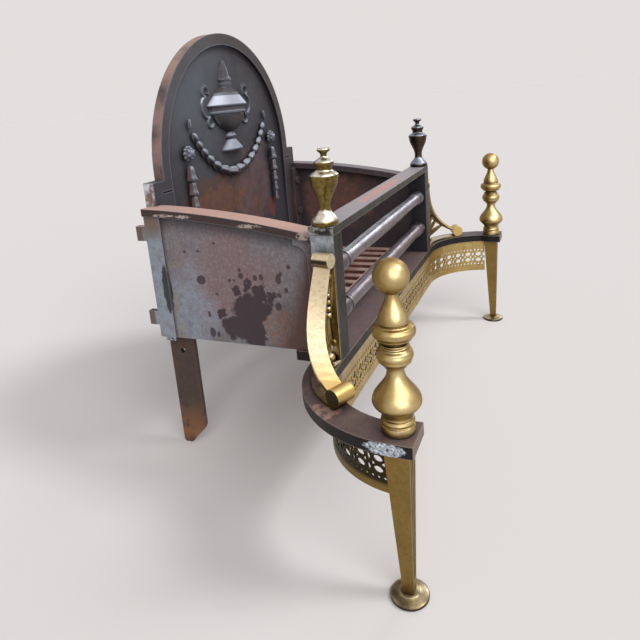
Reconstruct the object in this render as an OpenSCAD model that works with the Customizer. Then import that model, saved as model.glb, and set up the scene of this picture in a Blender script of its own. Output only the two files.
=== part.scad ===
// Basket fire grate: an iron basket on a pierced brass apron, with brass legs, brackets and finials.
// The hearth is Z = 0, the front looks along -Y, and X runs along the front.
// Every height called *_h is measured up from the top face of the shelf, every *_z from the hearth.

/* [Overall] */
// Distance between the axes of the two front legs
leg_spacing = 600; // [540:5:700]
// Height of the shelf's top face above the hearth
shelf_z = 150.6; // [135:0.2:180]
// Width of the front frame over its two stiles
frame_w = 403; // [380:1:430]
// Height of the front frame above the shelf
frame_h = 131.1; // [120:0.1:150]
// Depth of the fire basket, from the front of the frame to the face of the fireback
basket_d = 211.8; // [190:0.2:240]
// Distance from the axes of the front legs back to the front of the frame
wing_d = 80.8; // [70:0.2:95]

/* [Shelf] */
// Thickness of the shelf
shelf_t = 10.5; // [8:0.1:14]
// Width of each curved wing of the shelf
wing_w = 28.6; // [26:0.2:34]
// How far the wing ends pass outside the axes of the front legs
wing_over = 19.4; // [17:0.2:24]
// How far the wing ends reach in front of the axes of the front legs
wing_tip = 15.6; // [14:0.2:20]
// Width of the square end of each wing
wing_end_w = 34.4; // [32:0.2:40]
// Depth of the shelf under the basket, behind the front of the frame
shelf_d = 54; // [48:1:70]

/* [Front frame] */
// Width of each stile
stile_w = 21.2; // [18:0.2:26]
// Depth of each stile
stile_d = 23; // [20:0.2:30]
// Depth of the top rail
rail_d = 24.6; // [24:0.2:34]
// Thickness of the top rail
rail_t = 8.2; // [6:0.2:12]
// Diameter of the round front bars
bar_d = 15; // [12:0.5:18]
// Diameter of the ring near each end of a front bar
bar_ring_d = 19.5; // [18.5:0.5:24]
// Height of the lower bar
bar_low_h = 39; // [34:0.5:44]
// Height of the upper bar
bar_high_h = 86; // [78:0.5:94]
// Diameter of the tenon that fixes a bar in its stile
bar_tenon_d = 9; // [7:0.5:11]

/* [Cheeks] */
// Distance from the outer side of a stile in to the outer face of its cheek
cheek_inset = 11.5; // [10:0.5:13]
// Thickness of a cheek at its borders
cheek_t = 7; // [6:0.5:9]
// Depth of the sunk panel on the outside of a cheek
cheek_sink = 2; // [1:0.5:3]
// Height of a cheek at the back
cheek_h = 145.4; // [140:0.2:150]
// How far the front of a cheek's top edge lies under the top rail
cheek_under = 2.9; // [2.5:0.1:8]
// Rise of the bow in the top edge of a cheek
cheek_bow = 4.3; // [2:0.1:5]
// How far a cheek runs back past the face of the fireback
cheek_past = 8; // [4:0.5:12]
// Thickness of the rim along the top of a cheek
rim_t = 8; // [6:0.5:10]
// Width of the broad flat rim along the top of a cheek
rim_w = 24.5; // [18:0.5:28]
// How far the rim stands out past the outer face of a cheek
rim_out = 2.4; // [1:0.2:4]
// Width of the border down the back of a cheek
border_rear = 20; // [14:1:26]
// Width of the border down the front of a cheek
border_front = 10; // [8:1:16]
// Length of the lugs behind a cheek
lug_l = 12; // [8:0.5:16]
// How far the flange at the back of a cheek laps over the face of the fireback
flange_lap = 17.3; // [15:0.1:24]
// Thickness of that flange
flange_t = 6; // [5:0.5:8]

/* [Fireback] */
// How far each side of the fireback stands in from the end of the frame
back_inset = 25.2; // [24:0.1:32]
// Thickness of the fireback
back_t = 13; // [11:0.5:16]
// Height of the shoulders
shoulder_h = 170; // [160:1:180]
// Outer radius of the arched top
arch_r = 156.1; // [140:0.5:162]
// Height of the centre of the arch
arch_h = 175.6; // [171:0.2:190]
// Width of the raised rim round the arched panel
arch_rim = 13.8; // [11:0.2:18]
// Depth of the sunk panel
panel_sink = 6; // [4:0.5:7]
// How far the fireback hangs below the shelf's top face
back_drop = 10.6; // [8:0.2:14]
// How far the ledge for the grid stands out in front of the fireback
ledge_d = 24; // [20:1:30]

/* [Relief] */
// Height of the foot of the urn
urn_h = 185.5; // [182:0.5:190]
// Height of the lowest point of the swag
swag_h = 158; // [152:1:165]
// Half width of the swag
swag_x = 99; // [90:1:105]
// Rise of the ends of the swag above its lowest point
swag_rise = 75; // [60:1:80]
// Number of husks on the swag
husks = 25; // [19:2:27]
// Distance of each hanging drop from the middle
drop_x = 104.5; // [102:0.5:112]

/* [Bottom grid] */
// Number of ribs of the bottom grid
ribs = 13; // [9:1:15]
// Width of each rib
rib_w = 12; // [9:0.5:14]
// Thickness of the bottom grid
grid_t = 9.5; // [8:0.5:12]
// Width of the front and rear bars of the grid
grid_bar = 13; // [10:0.5:16]
// Clearance between the grid and what stands round it
grid_gap = 2.5; // [1.5:0.5:4]
// Length of the grid's seat on the shelf and on the ledge
grid_seat = 11; // [8:0.5:12]

/* [Rear legs] */
// How far the outer face of each rear leg stands in from the side of the fireback
rear_inset = 13.3; // [8:0.1:21]
// Thickness of a rear leg
rear_t = 6; // [5:0.5:9]
// Width of a rear leg, front to back
rear_w = 33; // [30:0.5:40]
// How far a rear leg passes the back of the fireback
rear_past = 6.6; // [6:0.2:9]
// Height of the cut that slants up at the front of the toe
toe_z = 26; // [16:1:36]
// Height of the hole through a rear leg above the hearth
rear_hole_z = 121.6; // [100:0.2:126]
// Diameter of the hole through a rear leg
rear_hole_d = 6.6; // [5:0.2:9]
// Width of the flange that carries the fireback's bolts
rear_flange = 26; // [22:1:34]

/* [Front legs] */
// Side of a front leg under the shelf
leg_top = 20; // [17:0.5:24]
// Side of a front leg at its foot
leg_foot = 8.8; // [7:0.2:12]
// How far the foot of the leg stands in front of its head
leg_lean = 2.5; // [0:0.5:4]
// Diameter of the foot disc
foot_d = 31.8; // [26:0.2:36]
// Thickness of the foot disc
foot_t = 5.6; // [5:0.2:8]

/* [Apron] */
// Height of the pierced brass apron under the shelf
apron_h = 51; // [46:0.5:56]
// Thickness of the apron
apron_t = 1.8; // [1.4:0.1:3]
// How far the apron stands behind the front edge of the shelf
apron_set = 3.2; // [2.5:0.1:6]
// Number of pierced groups along the straight front
apron_cells = 23; // [21:1:25]
// Number of pierced groups round each wing
wing_cells = 7; // [6:1:8]

/* [Brackets] */
// Radius of the bracket's curve in plan
brk_r = 63.2; // [61:0.2:66]
// Angle at which the bracket's curve leaves the stile
brk_turn = 18.7; // [16:0.1:21]
// Distance from the front of the frame back to the middle of the bracket at the stile
brk_set = 6.5; // [6.2:0.1:12]
// Width of the bracket's strap
brk_w = 16; // [14:0.5:16.5]
// Thickness of the strap
brk_t = 3; // [2:0.5:4]
// Height of the centre of the upper roll
roll_up_h = 102; // [94:1:106]
// Radius of the upper roll
roll_up_r = 7; // [5:0.5:8]
// Radius of the lower roll
roll_low_r = 7.8; // [7:0.2:9]
// Length of the bracket along the wing, from the stile to the centre of the lower roll
brk_l = 93; // [88:1:96]
// Thickness of the bracket's bottom bar on the wing
brk_base = 3; // [2.5:0.5:4]
// How far the strap sags toward the corner of the frame
brk_sag = 12.5; // [8:0.5:15]

/* [Finials] */
// Radius of the ball on each front finial
ball_r = 13; // [11:0.2:15]
// Height of the centre of the ball
ball_h = 121.4; // [115:0.2:130]
// Radius of the widest part of the urn finials
urn_fin_r = 13.4; // [12:0.2:15]
// Height of the urn finials above the top rail
urn_fin_h = 70.5; // [64:0.5:78]

/* [Fixings] */
// Diameter of the studs through the finials
stud_d = 6; // [5:0.5:8]
// Diameter of the bolts in the ironwork
bolt_d = 6; // [5:0.5:7]
// Diameter of the screws in the brasswork
screw_d = 3.5; // [3:0.5:4.5]
// Radial clearance of bolts, studs and screws in their holes
hole_gap = 0.15; // [0.1:0.05:0.3]

/* [Hidden] */
$fn = 64;

frame_x = frame_w / 2;
stile_x = frame_x - stile_w / 2;
frame_back_y = wing_d + stile_d;
rail_back_y = wing_d + rail_d;
rail_h = frame_h - rail_t;
stile_y = wing_d + stile_d / 2;
face_y = wing_d + basket_d;
back_y = face_y + back_t;
wing_out_r = wing_d + wing_w;
wing_x = leg_spacing / 2 + wing_over - wing_out_r;
cheek_x = frame_x - cheek_inset;
cheek_in_x = cheek_x - cheek_t;
cheek_back_y = face_y + cheek_past;
back_x = frame_x - back_inset;
rear_x = back_x - rear_inset;
rear_back_y = back_y + rear_past;
shelf_under_z = shelf_z - shelf_t;
hole_d = bolt_d + 2 * hole_gap;
stud_hole_d = stud_d + 2 * hole_gap;
screw_hole_d = screw_d + 2 * hole_gap;
grid_front_y = wing_d + shelf_d - grid_seat;
grid_rear_y = face_y - ledge_d + grid_seat;
apron_r = wing_d + apron_set;
apron_z = shelf_under_z - apron_h;
brk_cx = frame_x + brk_r * sin(brk_turn);
brk_cy = wing_d + brk_set - brk_r * cos(brk_turn);
rear_front_y = rear_back_y - rear_w;
nut_w = bolt_d * 1.75;
nut_t = bolt_d * 0.9;
// The middle of the whole depth, which the origin lies on
foot_front_y = min(-wing_tip, -leg_lean - foot_d / 2);
middle_y = (rear_back_y + nut_t + 3 + foot_front_y) / 2;

wing_end_x = leg_spacing / 2 + wing_over - wing_end_w;
urn_x = stile_x;
tenon_l = 12;
stile_screw_l = 24;
rail_stud_in = 22;
rail_stud_up = 30;
leg_stud_in = 26;
leg_stud_up = 30;
apron_screw_l = 7;

// The top edge of a cheek falls to the front in one shallow bow
cheek_front_h = rail_h - cheek_under;
cheek_run = cheek_back_y - frame_back_y;
cheek_bolt_x = back_x - flange_lap / 2;
rim_in_x = cheek_x + rim_out - rim_w;

panel_x = arch_r - arch_rim;
panel_y = face_y + panel_sink;
ledge_top_h = 4;
ledge_x = rear_x - rear_t - 6;

// The wing stretch of the apron ends against the back of the front leg
apron_p = 2 * wing_x / apron_cells;
apron_sweep = acos((leg_top / 2 + 0.3) / apron_r);
wing_pitch = apron_sweep / (wing_cells + 0.07);
tab_y = apron_r + apron_t + 6;

// Points of a bracket as [distance along the wing, height above the shelf]
brk_top = [roll_up_r + 1, roll_up_h];
brk_end = [brk_l, brk_base + roll_low_r];
brk_screw_h = [20, roll_up_h - 17];
brk_screw_y = wing_d + brk_set;
brk_screw_s = 40;
leaf_turns = [78, 62, 46, 30, 15];
leaf_hub = [9, brk_base + 4];

iron = "#4d4644";
worn_iron = "#6b6164";
rust = "#8a5a48";
blue_iron = "#6f747c";
brass = "#a88a4a";
pale_brass = "#c9ad78";

// Puts the origin under the middle of the object
module placed() {
    translate([0, -middle_y, 0]) children();
}

// Draws its children for one side: -1 is left, 1 is right
module side(s) {
    mirror([s < 0 ? 1 : 0, 0, 0]) children();
}

// Turned work: the outline swells in an S between the stations [radius, height]
function swell(a, b, n) = [for (i = [0 : n - 1])
    let (t = i / n) [a[0] + (b[0] - a[0]) * (1 - cos(180 * t)) / 2, a[1] + (b[1] - a[1]) * t]];
function turned(st, n) = concat(
    [for (k = [0 : len(st) - 2]) each (abs(st[k][0] - st[k + 1][0]) < 0.01 ? [st[k]]
        : swell(st[k], st[k + 1], n))], [st[len(st) - 1]]);
module turning(st, n = 5) {
    p = turned(st, n);
    rotate_extrude() polygon(concat([[0, st[0][1]]], p, [[0, st[len(st) - 1][1]]]));
}

// The shelf and its two curved wings

function wing_blend(t) = let (s = t * t * (3 - 2 * t))
    [wing_end_x + s * (wing_x + wing_d * cos(12) + 0.3 - wing_end_x), t * wing_d * sin(12)];

// The square end of a wing, blended into the wing's inner side
module wing_end() {
    linear_extrude(shelf_t) polygon(concat([[wing_end_x, -wing_tip]], [for (i = [0 : 6]) wing_blend(i / 6)],
        [[leg_spacing / 2 + 6, wing_d * sin(12)], [leg_spacing / 2 + 6, 5], [wing_x + wing_out_r - 1.5, 4],
        [leg_spacing / 2 + wing_over, 0], [leg_spacing / 2 + wing_over, -wing_tip]]));
}
module shelf_body() {
    translate([-wing_x, wing_d, 0]) cube([2 * wing_x, wing_w, shelf_t]);
    translate([-cheek_x, wing_d, 0]) cube([2 * cheek_x, shelf_d, shelf_t]);
    for (s = [-1, 1]) side(s) {
        translate([wing_x, 0, 0]) rotate_extrude(angle = 90, $fn = 128)
            translate([wing_d, 0]) square([wing_w, shelf_t]);
        wing_end();
    }
}

module shelf_plate() color(worn_iron) placed() difference() {
    translate([0, 0, shelf_under_z]) shelf_body();
    for (s = [-1, 1]) {
        translate([s * leg_spacing / 2, 0, shelf_under_z - 1])
            cylinder(d = stud_hole_d, h = shelf_t + 2, $fn = 32);
        translate([s * stile_x, stile_y, shelf_under_z - 1])
            cylinder(d = hole_d, h = shelf_t + 2, $fn = 32);
        translate([s * stile_x, stile_y, shelf_under_z - 0.01])
            cylinder(d1 = bolt_d * 2 + 0.4, d2 = bolt_d, h = bolt_d / 2 + 0.1, $fn = 32);
        side(s) brk_place(brk_screw_s) translate([0, 0, shelf_under_z - 1])
            cylinder(d = screw_hole_d, h = shelf_t + 2, $fn = 32);
    }
    apron_tab_places() translate([0, 0, shelf_z - shelf_t - 1])
        cylinder(d = screw_hole_d, h = apron_screw_l + 1.2, $fn = 32);
}

// The front frame: two stiles, a top rail and two round bars

module stile() {
    difference() {
        translate([frame_x - stile_w, wing_d, shelf_z]) cube([stile_w, stile_d, rail_h]);
        for (h = [bar_low_h, bar_high_h]) translate([frame_x - stile_w - 1, stile_y, shelf_z + h])
            rotate([0, 90, 0]) cylinder(d = bar_tenon_d, h = tenon_l + 1, $fn = 48);
        translate([stile_x, stile_y, shelf_z - 1]) cylinder(d = bolt_d, h = stile_screw_l + 1.3, $fn = 32);
        translate([stile_x, stile_y, shelf_z + rail_h - rail_stud_in])
            cylinder(d = stud_d, h = rail_stud_in + 1, $fn = 32);
        for (h = brk_screw_h) translate([frame_x - 9, brk_screw_y, shelf_z + h])
            rotate([0, 90, 0]) cylinder(d = screw_d, h = 10, $fn = 32);
        cheek_tongue(0);
    }
}

module stile_left() color(iron) placed() side(-1) stile();
module stile_right() color(iron) placed() side(1) stile();

module top_rail() color(worn_iron) placed() difference() {
    translate([-frame_x, wing_d, shelf_z + rail_h]) cube([frame_w, rail_d, rail_t]);
    for (s = [-1, 1]) translate([s * urn_x, stile_y, shelf_z + rail_h - 1])
        cylinder(d = stud_hole_d, h = rail_t + 2, $fn = 32);
}

// A round bar with a ring and a short neck at each end, held by a tenon in each stile
module front_bar(h) {
    half = frame_x - stile_w;
    st = [[0.5 * bar_d + 0.8, 0], [0.5 * bar_d + 0.8, 7], [0.5 * bar_d - 0.6, 9.5],
        [0.5 * bar_ring_d, 12.5], [0.5 * bar_ring_d, 14.5], [0.5 * bar_d - 0.8, 18], [0.5 * bar_d, 22]];
    translate([0, stile_y, shelf_z + h]) for (s = [-1, 1]) side(s) {
        translate([half, 0, 0]) rotate([0, -90, 0]) turning(st, 3);
        translate([half - 0.01, 0, 0]) rotate([0, 90, 0]) cylinder(d = bar_tenon_d, h = tenon_l, $fn = 48);
        rotate([0, 90, 0]) cylinder(d = bar_d, h = half - 21.9);
    }
}
module front_bar_lower() color(worn_iron) placed() front_bar(bar_low_h);
module front_bar_upper() color(worn_iron) placed() front_bar(bar_high_h);

// The two side plates of the basket

function cheek_top(drop, n) = [for (i = [0 : n]) let (t = i / n) [frame_back_y + cheek_run * t,
    cheek_front_h + (cheek_h - cheek_front_h) * t + 4 * cheek_bow * t * (1 - t) - drop]];

module cheek_outline(drop) {
    polygon(concat([[frame_back_y, 0]], cheek_top(drop, 10), [[cheek_back_y, 0]]));
}
module cheek_rim_outline() {
    difference() {
        cheek_outline(0);
        translate([0, -0.01]) cheek_outline(rim_t);
    }
}
// The sunk panel, with its upper front corner rounded
module cheek_panel() {
    r = 14;
    y0 = frame_back_y + border_front;
    y1 = cheek_back_y - border_rear;
    intersection() {
        translate([0, -1]) cheek_outline(rim_t - 1);
        union() {
            translate([y0 + r, -1]) square([y1 - y0 - r, cheek_h]);
            translate([y0, -1]) square([y1 - y0, cheek_front_h - rim_t - r - 2 + 1]);
            translate([y0 + r, cheek_front_h - rim_t - r - 2]) circle(r);
        }
    }
}
// The tongue that seats the front edge of a cheek in its stile
module cheek_tongue(gap) {
    translate([cheek_in_x + 1.5 + gap, frame_back_y - 5 + gap, shelf_z - 1])
        cube([3 - 2 * gap, 6, rail_h - 15 + 1 - gap]);
}

module cheek() {
    difference() {
        union() {
            translate([cheek_x, 0, shelf_z]) rotate([90, 0, -90]) mirror([1, 0, 0])
                linear_extrude(cheek_t) cheek_outline(rim_t / 2);
            translate([cheek_x + rim_out, 0, shelf_z]) rotate([90, 0, -90]) mirror([1, 0, 0])
                linear_extrude(rim_w) cheek_rim_outline();
            translate([back_x - flange_lap, face_y - flange_t, shelf_z])
                cube([cheek_in_x + 1 - back_x + flange_lap, flange_t, cheek_h - rim_t]);
            for (h = [14, 110]) translate([cheek_in_x + 0.5, cheek_back_y - 1, shelf_z + h])
                cube([cheek_t - 0.5, lug_l + 1, 16]);
            intersection() {
                cheek_tongue(0);
                translate([0, 0, shelf_z]) cube([frame_w, cheek_back_y, cheek_h]);
            }
        }
        translate([cheek_x + 1, 0, shelf_z]) rotate([90, 0, -90]) mirror([1, 0, 0])
            linear_extrude(cheek_sink + 1) cheek_panel();
        cheek_bolt_places() cylinder(d = hole_d, h = 4 * back_t, center = true, $fn = 32);
        // the rim stops at the face of the fireback
        translate([0, face_y, shelf_z]) cube([back_x + 0.2, cheek_past + 1, cheek_h + 1]);
    }
}
module cheek_bolt_places() {
    for (h = [68, 118]) translate([cheek_bolt_x, face_y, shelf_z + h]) rotate([-90, 0, 0]) children();
}
module cheek_left() color(blue_iron) placed() side(-1) cheek();
module cheek_right() color(blue_iron) placed() side(1) cheek();

// The fireback with its cast relief

module arch_outline(x, low) {
    translate([-x, low]) square([2 * x, arch_h - low]);
    translate([0, arch_h]) intersection() {
        circle(x, $fn = 144);
        translate([-x, -0.01]) square([2 * x, x + 1]);
    }
}
module back_outline() {
    translate([-back_x, -back_drop]) square([2 * back_x, back_drop + shoulder_h]);
    arch_outline(arch_r, 0);
}

// A low relief of half-oval sections [half width, height, depth] standing on the sunk panel
module relief(st, n = 8) {
    m = n + 1;
    pts = [for (k = [0 : len(st) - 1]) for (i = [0 : n])
        let (a = 180 * i / n) [st[k][0] * cos(a), 1 - (1 + st[k][2]) * sin(a), st[k][1]]];
    last = (len(st) - 1) * m;
    polyhedron(pts, concat(
        [[for (i = [n : -1 : 0]) i]], [[for (i = [0 : n]) last + i]],
        [for (k = [0 : len(st) - 2]) for (i = [0 : n - 1]) let (p = k * m + i)
            each [[p + 1, p + m, p], [p + m + 1, p + m, p + 1]]],
        [for (k = [0 : len(st) - 2]) let (p = k * m)
            each [[p, p + m + n, p + n], [p + m, p + m + n, p]]]), convexity = 6);
}

module urn_relief() {
    relief([[21, 0, 4], [23.5, 3, 5], [22, 5, 5.5], [6.4, 14.5, 5], [6.4, 15.5, 5], [9, 17, 6], [11, 19.5, 6.5],
        [9.5, 22, 6], [7.5, 23.5, 6], [12, 25.5, 7], [21, 29, 9], [31, 35, 11], [38, 42, 12], [40.5, 47, 12.5],
        [45, 48.5, 13.5], [45, 50.2, 13.5], [42.5, 51.4, 12], [42.5, 56, 12], [47, 57.6, 14], [47, 59.4, 14],
        [31.5, 70.5, 10], [25, 72.6, 9], [14, 76.5, 7.5], [10.4, 80.6, 7], [12.3, 83, 7.5], [12.3, 86.4, 7.5],
        [10, 87.6, 6], [12, 90, 7], [11.4, 92, 7], [6.6, 102, 5], [1, 112.4, 2.5]]);
    // the handles: a curl over the shoulder, a bow outward and a curl below
    for (s = [-1, 1]) mirror([s < 0 ? 1 : 0, 0, 0]) {
        handle_arc(48.5, 75.5, 6.5, -80, 285, 3);
        handle_arc(45.5, 57, 13.4, -72, 134, 3);
        handle_arc(43, 38.5, 6, -170, 255, 2.8);
    }
}
module handle_arc(x, z, r, from, sweep, w) {
    translate([x, 0.2, z]) rotate([90, 0, 0]) rotate([0, 0, from])
        rotate_extrude(angle = sweep, $fn = 48) translate([r, 0]) circle(w, $fn = 24);
}

// The swag hangs as a parabola of husks that grow toward the middle
function swag_at(t) = [swag_x * t, swag_rise * (0.8 * t * t + 0.2 * pow(t, 6))];
module husk(w, l) {
    cylinder(r1 = w * 0.35, r2 = w, h = l, $fn = 24);
    translate([0, 0, l]) sphere(w * 0.72, $fn = 24);
}
module swag() {
    for (i = [0 : husks - 1]) {
        // the husks crowd toward the ends, where the swag hangs steeply
        t = sin(-64 + 128 * i / (husks - 1)) / sin(64);
        u = t + (t < 0 ? 0.01 : -0.01);
        p = swag_at(t);
        d = swag_at(u) - p;
        w = 7.2 - 4.4 * abs(t);
        translate([p[0], 0, p[1]]) rotate([0, atan2(d[0], d[1]) + 180, 0])
            translate([0, 0, -4]) husk(w, 8.5);
    }
}

// A drop: a rosette, then bell flowers that shrink downward
bells = 7;
function bell_w(k) = 7.6 - 0.8 * k;
function bell_z(k) = 187 - 17.2 * k + 0.42 * k * k;
module drop_relief() {
    turning([[1, bell_z(bells - 1) - 16], [1.8, bell_z(bells - 1) - 13],
        for (k = [bells - 1 : -1 : 0]) each [[bell_w(k) * 0.5, bell_z(k) - 1.9 * bell_w(k)],
            [bell_w(k), bell_z(k) - 1.75 * bell_w(k)], [bell_w(k) * 0.42, bell_z(k) - 0.2 * bell_w(k)]],
        [2.4, bell_z(0) + 2]], 3);
    translate([0, 1, bell_z(0) + 8]) rotate([90, 0, 0]) {
        cylinder(r = 9.6, h = 4, $fn = 36);
        cylinder(r1 = 7, r2 = 4, h = 8, $fn = 32);
    }
}

module fireback() color(iron) placed() difference() {
    union() {
        translate([0, back_y, shelf_z]) rotate([90, 0, 0]) difference() {
            linear_extrude(back_t) back_outline();
            translate([0, 0, back_t - panel_sink]) linear_extrude(panel_sink + 1)
                arch_outline(panel_x, ledge_top_h);
            // the short slots where the rim's foot steps out over the shoulder
            for (s = [-1, 1]) translate([s * (panel_x + 10.5) - 9, shoulder_h - 14, back_t - 3])
                cube([18, 2, 4]);
        }
        translate([0, panel_y, shelf_z + urn_h]) urn_relief();
        translate([0, panel_y, shelf_z + swag_h]) swag();
        for (s = [-1, 1]) translate([s * drop_x, panel_y, shelf_z]) drop_relief();
    }
    for (s = [-1, 1]) side(s) {
        cheek_bolt_places() cylinder(d = hole_d, h = 4 * back_t, center = true, $fn = 32);
        rear_bolt_places() {
            cylinder(d = hole_d, h = 4 * back_t, center = true, $fn = 32);
            translate([0, 0, -back_t - 0.01]) cylinder(r1 = bolt_d + 0.1, r2 = bolt_d / 2, h = bolt_d / 2 + 0.1, $fn = 32);
        }
    }
}

// The ledge on the face of the fireback that carries the rear of the grid
module grid_ledge() color(iron) placed()
    translate([-ledge_x, face_y - ledge_d, shelf_z - back_drop]) cube([2 * ledge_x, ledge_d, back_drop]);

// The loose grid that the fire lies on, narrow enough to lift out between the rims of the cheeks
module bottom_grid() color(rust) placed() {
    w = 2 * (rim_in_x - grid_gap);
    pitch = (w - rib_w) / (ribs - 1);
    translate([-w / 2, grid_front_y, shelf_z]) cube([w, grid_bar, grid_t]);
    translate([-w / 2, grid_rear_y - grid_bar, shelf_z]) cube([w, grid_bar, grid_t]);
    for (i = [0 : ribs - 1]) translate([-w / 2 + i * pitch, grid_front_y + 1, shelf_z])
        cube([rib_w, grid_rear_y - grid_front_y - 2, grid_t]);
}

// The rear legs

module rear_bolt_places() {
    for (h = [14, 40]) translate([rear_x - rear_flange * 0.62, back_y, shelf_z + h])
        rotate([-90, 0, 0]) children();
}
module rear_leg() {
    difference() {
        union() {
            translate([rear_x, 0, 0]) rotate([90, 0, -90]) mirror([1, 0, 0]) linear_extrude(rear_t)
                polygon([[rear_front_y, toe_z], [rear_front_y + 3, toe_z - 6], [rear_back_y - 14, 4],
                    [rear_back_y - 11, 0], [rear_back_y - 2, 0], [rear_back_y, 3],
                    [rear_back_y, shelf_z + 56], [back_y, shelf_z + 56], [back_y, shelf_z - back_drop],
                    [rear_front_y, shelf_z - back_drop]]);
            translate([rear_x - rear_flange, back_y, shelf_z - back_drop + 4])
                cube([rear_flange, rear_past, 52 + back_drop]);
        }
        rear_bolt_places() cylinder(d = hole_d, h = 4 * back_t, center = true, $fn = 32);
        translate([rear_x + 1, (rear_front_y + rear_back_y) / 2, rear_hole_z]) rotate([0, -90, 0])
            cylinder(d = rear_hole_d, h = rear_t + 2, $fn = 48);
    }
}
module rear_leg_left() color(iron) placed() side(-1) rear_leg();
module rear_leg_right() color(iron) placed() side(1) rear_leg();

// The front legs and their foot discs

// A square leg that tapers to the foot, with three flutes down its front
module front_leg() {
    a = leg_top / 2;
    b = leg_foot / 2;
    translate([leg_spacing / 2, 0, 0]) difference() {
        polyhedron([[-b, -leg_lean - b, foot_t], [b, -leg_lean - b, foot_t],
            [b, -leg_lean + b, foot_t], [-b, -leg_lean + b, foot_t],
            [-a, -a, shelf_under_z], [a, -a, shelf_under_z], [a, a, shelf_under_z], [-a, a, shelf_under_z]],
            [[0, 1, 2, 3], [7, 6, 5, 4], [0, 4, 5, 1], [1, 5, 6, 2], [2, 6, 7, 3], [3, 7, 4, 0]]);
        for (k = [-1, 0, 1]) hull() {
            translate([k * a * 0.52, -a - 0.2, shelf_under_z - 8]) sphere(1.7, $fn = 12);
            translate([k * b * 0.52, -leg_lean - b - 0.3, foot_t + 14]) sphere(0.9, $fn = 12);
        }
        translate([0, 0, shelf_under_z - leg_stud_in]) cylinder(d = stud_d, h = leg_stud_in + 1, $fn = 32);
        translate([0, -leg_lean, -1]) cylinder(d = 4, h = foot_t + 9, $fn = 32);
    }
}
module front_leg_left() color(brass) placed() side(-1) front_leg();
module front_leg_right() color(brass) placed() side(1) front_leg();

// A domed disc with a spigot up into the leg
module foot_disc() {
    r = foot_d / 2;
    translate([leg_spacing / 2, -leg_lean, 0])
        turning([[r - 0.8, 0], [r, 1], [r, 2.6], [leg_foot * 0.85, foot_t]], 5);
    translate([leg_spacing / 2, -leg_lean, foot_t - 1]) cylinder(d = 4, h = 8, $fn = 32);
}
module foot_disc_left() color(pale_brass) placed() side(-1) foot_disc();
module foot_disc_right() color(pale_brass) placed() side(1) foot_disc();

// The pierced apron under the shelf

// One pierced group: two pointed eyes, a four-part star beside them, and rows of round holes
module eye(w, h) {
    r = (w * w / 4 + h * h / 4) / h;
    intersection() {
        translate([0, r - h / 2]) circle(r, $fn = 48);
        translate([0, h / 2 - r]) circle(r, $fn = 48);
    }
}
module apron_cell(p, link = true) {
    mid = apron_h * 0.46;
    for (s = [-1, 1]) {
        translate([0, mid + s * 4.9]) eye(p * 0.52, 6.4);
        for (k = [-1, 0, 1]) translate([k * p / 3, mid + s * 11.9]) circle(d = 3, $fn = 16);
        if (link) {
            translate([p / 2, mid + s * 4.5]) rotate(90) eye(6.2, 3.4);
            translate([p / 2 + s * 2.5, mid]) polygon([[0, -2.7], [s * 3.9, 0], [0, 2.7]]);
        }
    }
}

module apron_body() {
    translate([-wing_x, apron_r, apron_z]) cube([2 * wing_x, apron_t, apron_h]);
    for (s = [-1, 1]) side(s) translate([wing_x, 0, apron_z]) difference() {
        rotate_extrude(angle = 90, $fn = 128) translate([apron_r, 0]) square([apron_t, apron_h]);
        translate([0, -1, -1]) cube([wing_out_r, leg_top / 2 + 1.3, apron_h + 2]);
    }
}
module pierced_apron() color(brass) placed() {
    difference() {
        apron_body();
        translate([0, apron_r + apron_t + 1, apron_z]) rotate([90, 0, 0]) linear_extrude(apron_t + 2)
            for (i = [0 : apron_cells - 1]) translate([-wing_x + (i + 0.5) * apron_p, 0])
                apron_cell(apron_p, i < apron_cells - 1);
        for (s = [-1, 1]) side(s) for (i = [0 : wing_cells - 1])
            translate([wing_x, 0, apron_z]) rotate([0, 0, -(i + 0.5) * wing_pitch])
            translate([0, apron_r + apron_t + 1, 0]) rotate([90, 0, 0])
            linear_extrude(apron_t + 2) apron_cell(apron_r * wing_pitch * PI / 180);
    }
    // soldered tabs, screwed up into the shelf
    apron_tabs() difference() {
        translate([-7, -6.9, shelf_under_z - 2]) cube([14, 13.7, 2]);
        translate([0, 0, shelf_under_z - 3]) cylinder(d = screw_hole_d, h = 4, $fn = 32);
    }
}
module apron_tabs() {
    for (x = [-150, -50, 50, 150]) translate([x, tab_y, 0]) children();
    for (s = [-1, 1]) side(s) translate([wing_x, 0, 0]) rotate([0, 0, -52])
        translate([0, tab_y, 0]) children();
}
module apron_tab_places() apron_tabs() children();

// The brackets beside the stiles

// Places its children at the distance s along the bracket's curve from the stile
module brk_place(s) {
    translate([brk_cx, brk_cy, 0]) rotate([0, 0, brk_turn - s / brk_r * 180 / PI])
        translate([0, brk_r, 0]) children();
}
function brk_point(s, r, z) = let (a = brk_turn - s / brk_r * 180 / PI)
    [brk_cx - r * sin(a), brk_cy + r * cos(a), shelf_z + z];

// The strap's line [distance, height] from the upper roll to the lower roll, sagging in one bow
function brk_line(t, in = 0) = let (d = brk_end - brk_top, l = norm(d))
    brk_top + t * d + [d[1], -d[0]] / l * (4 * brk_sag * t * (1 - t) + in);

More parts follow.
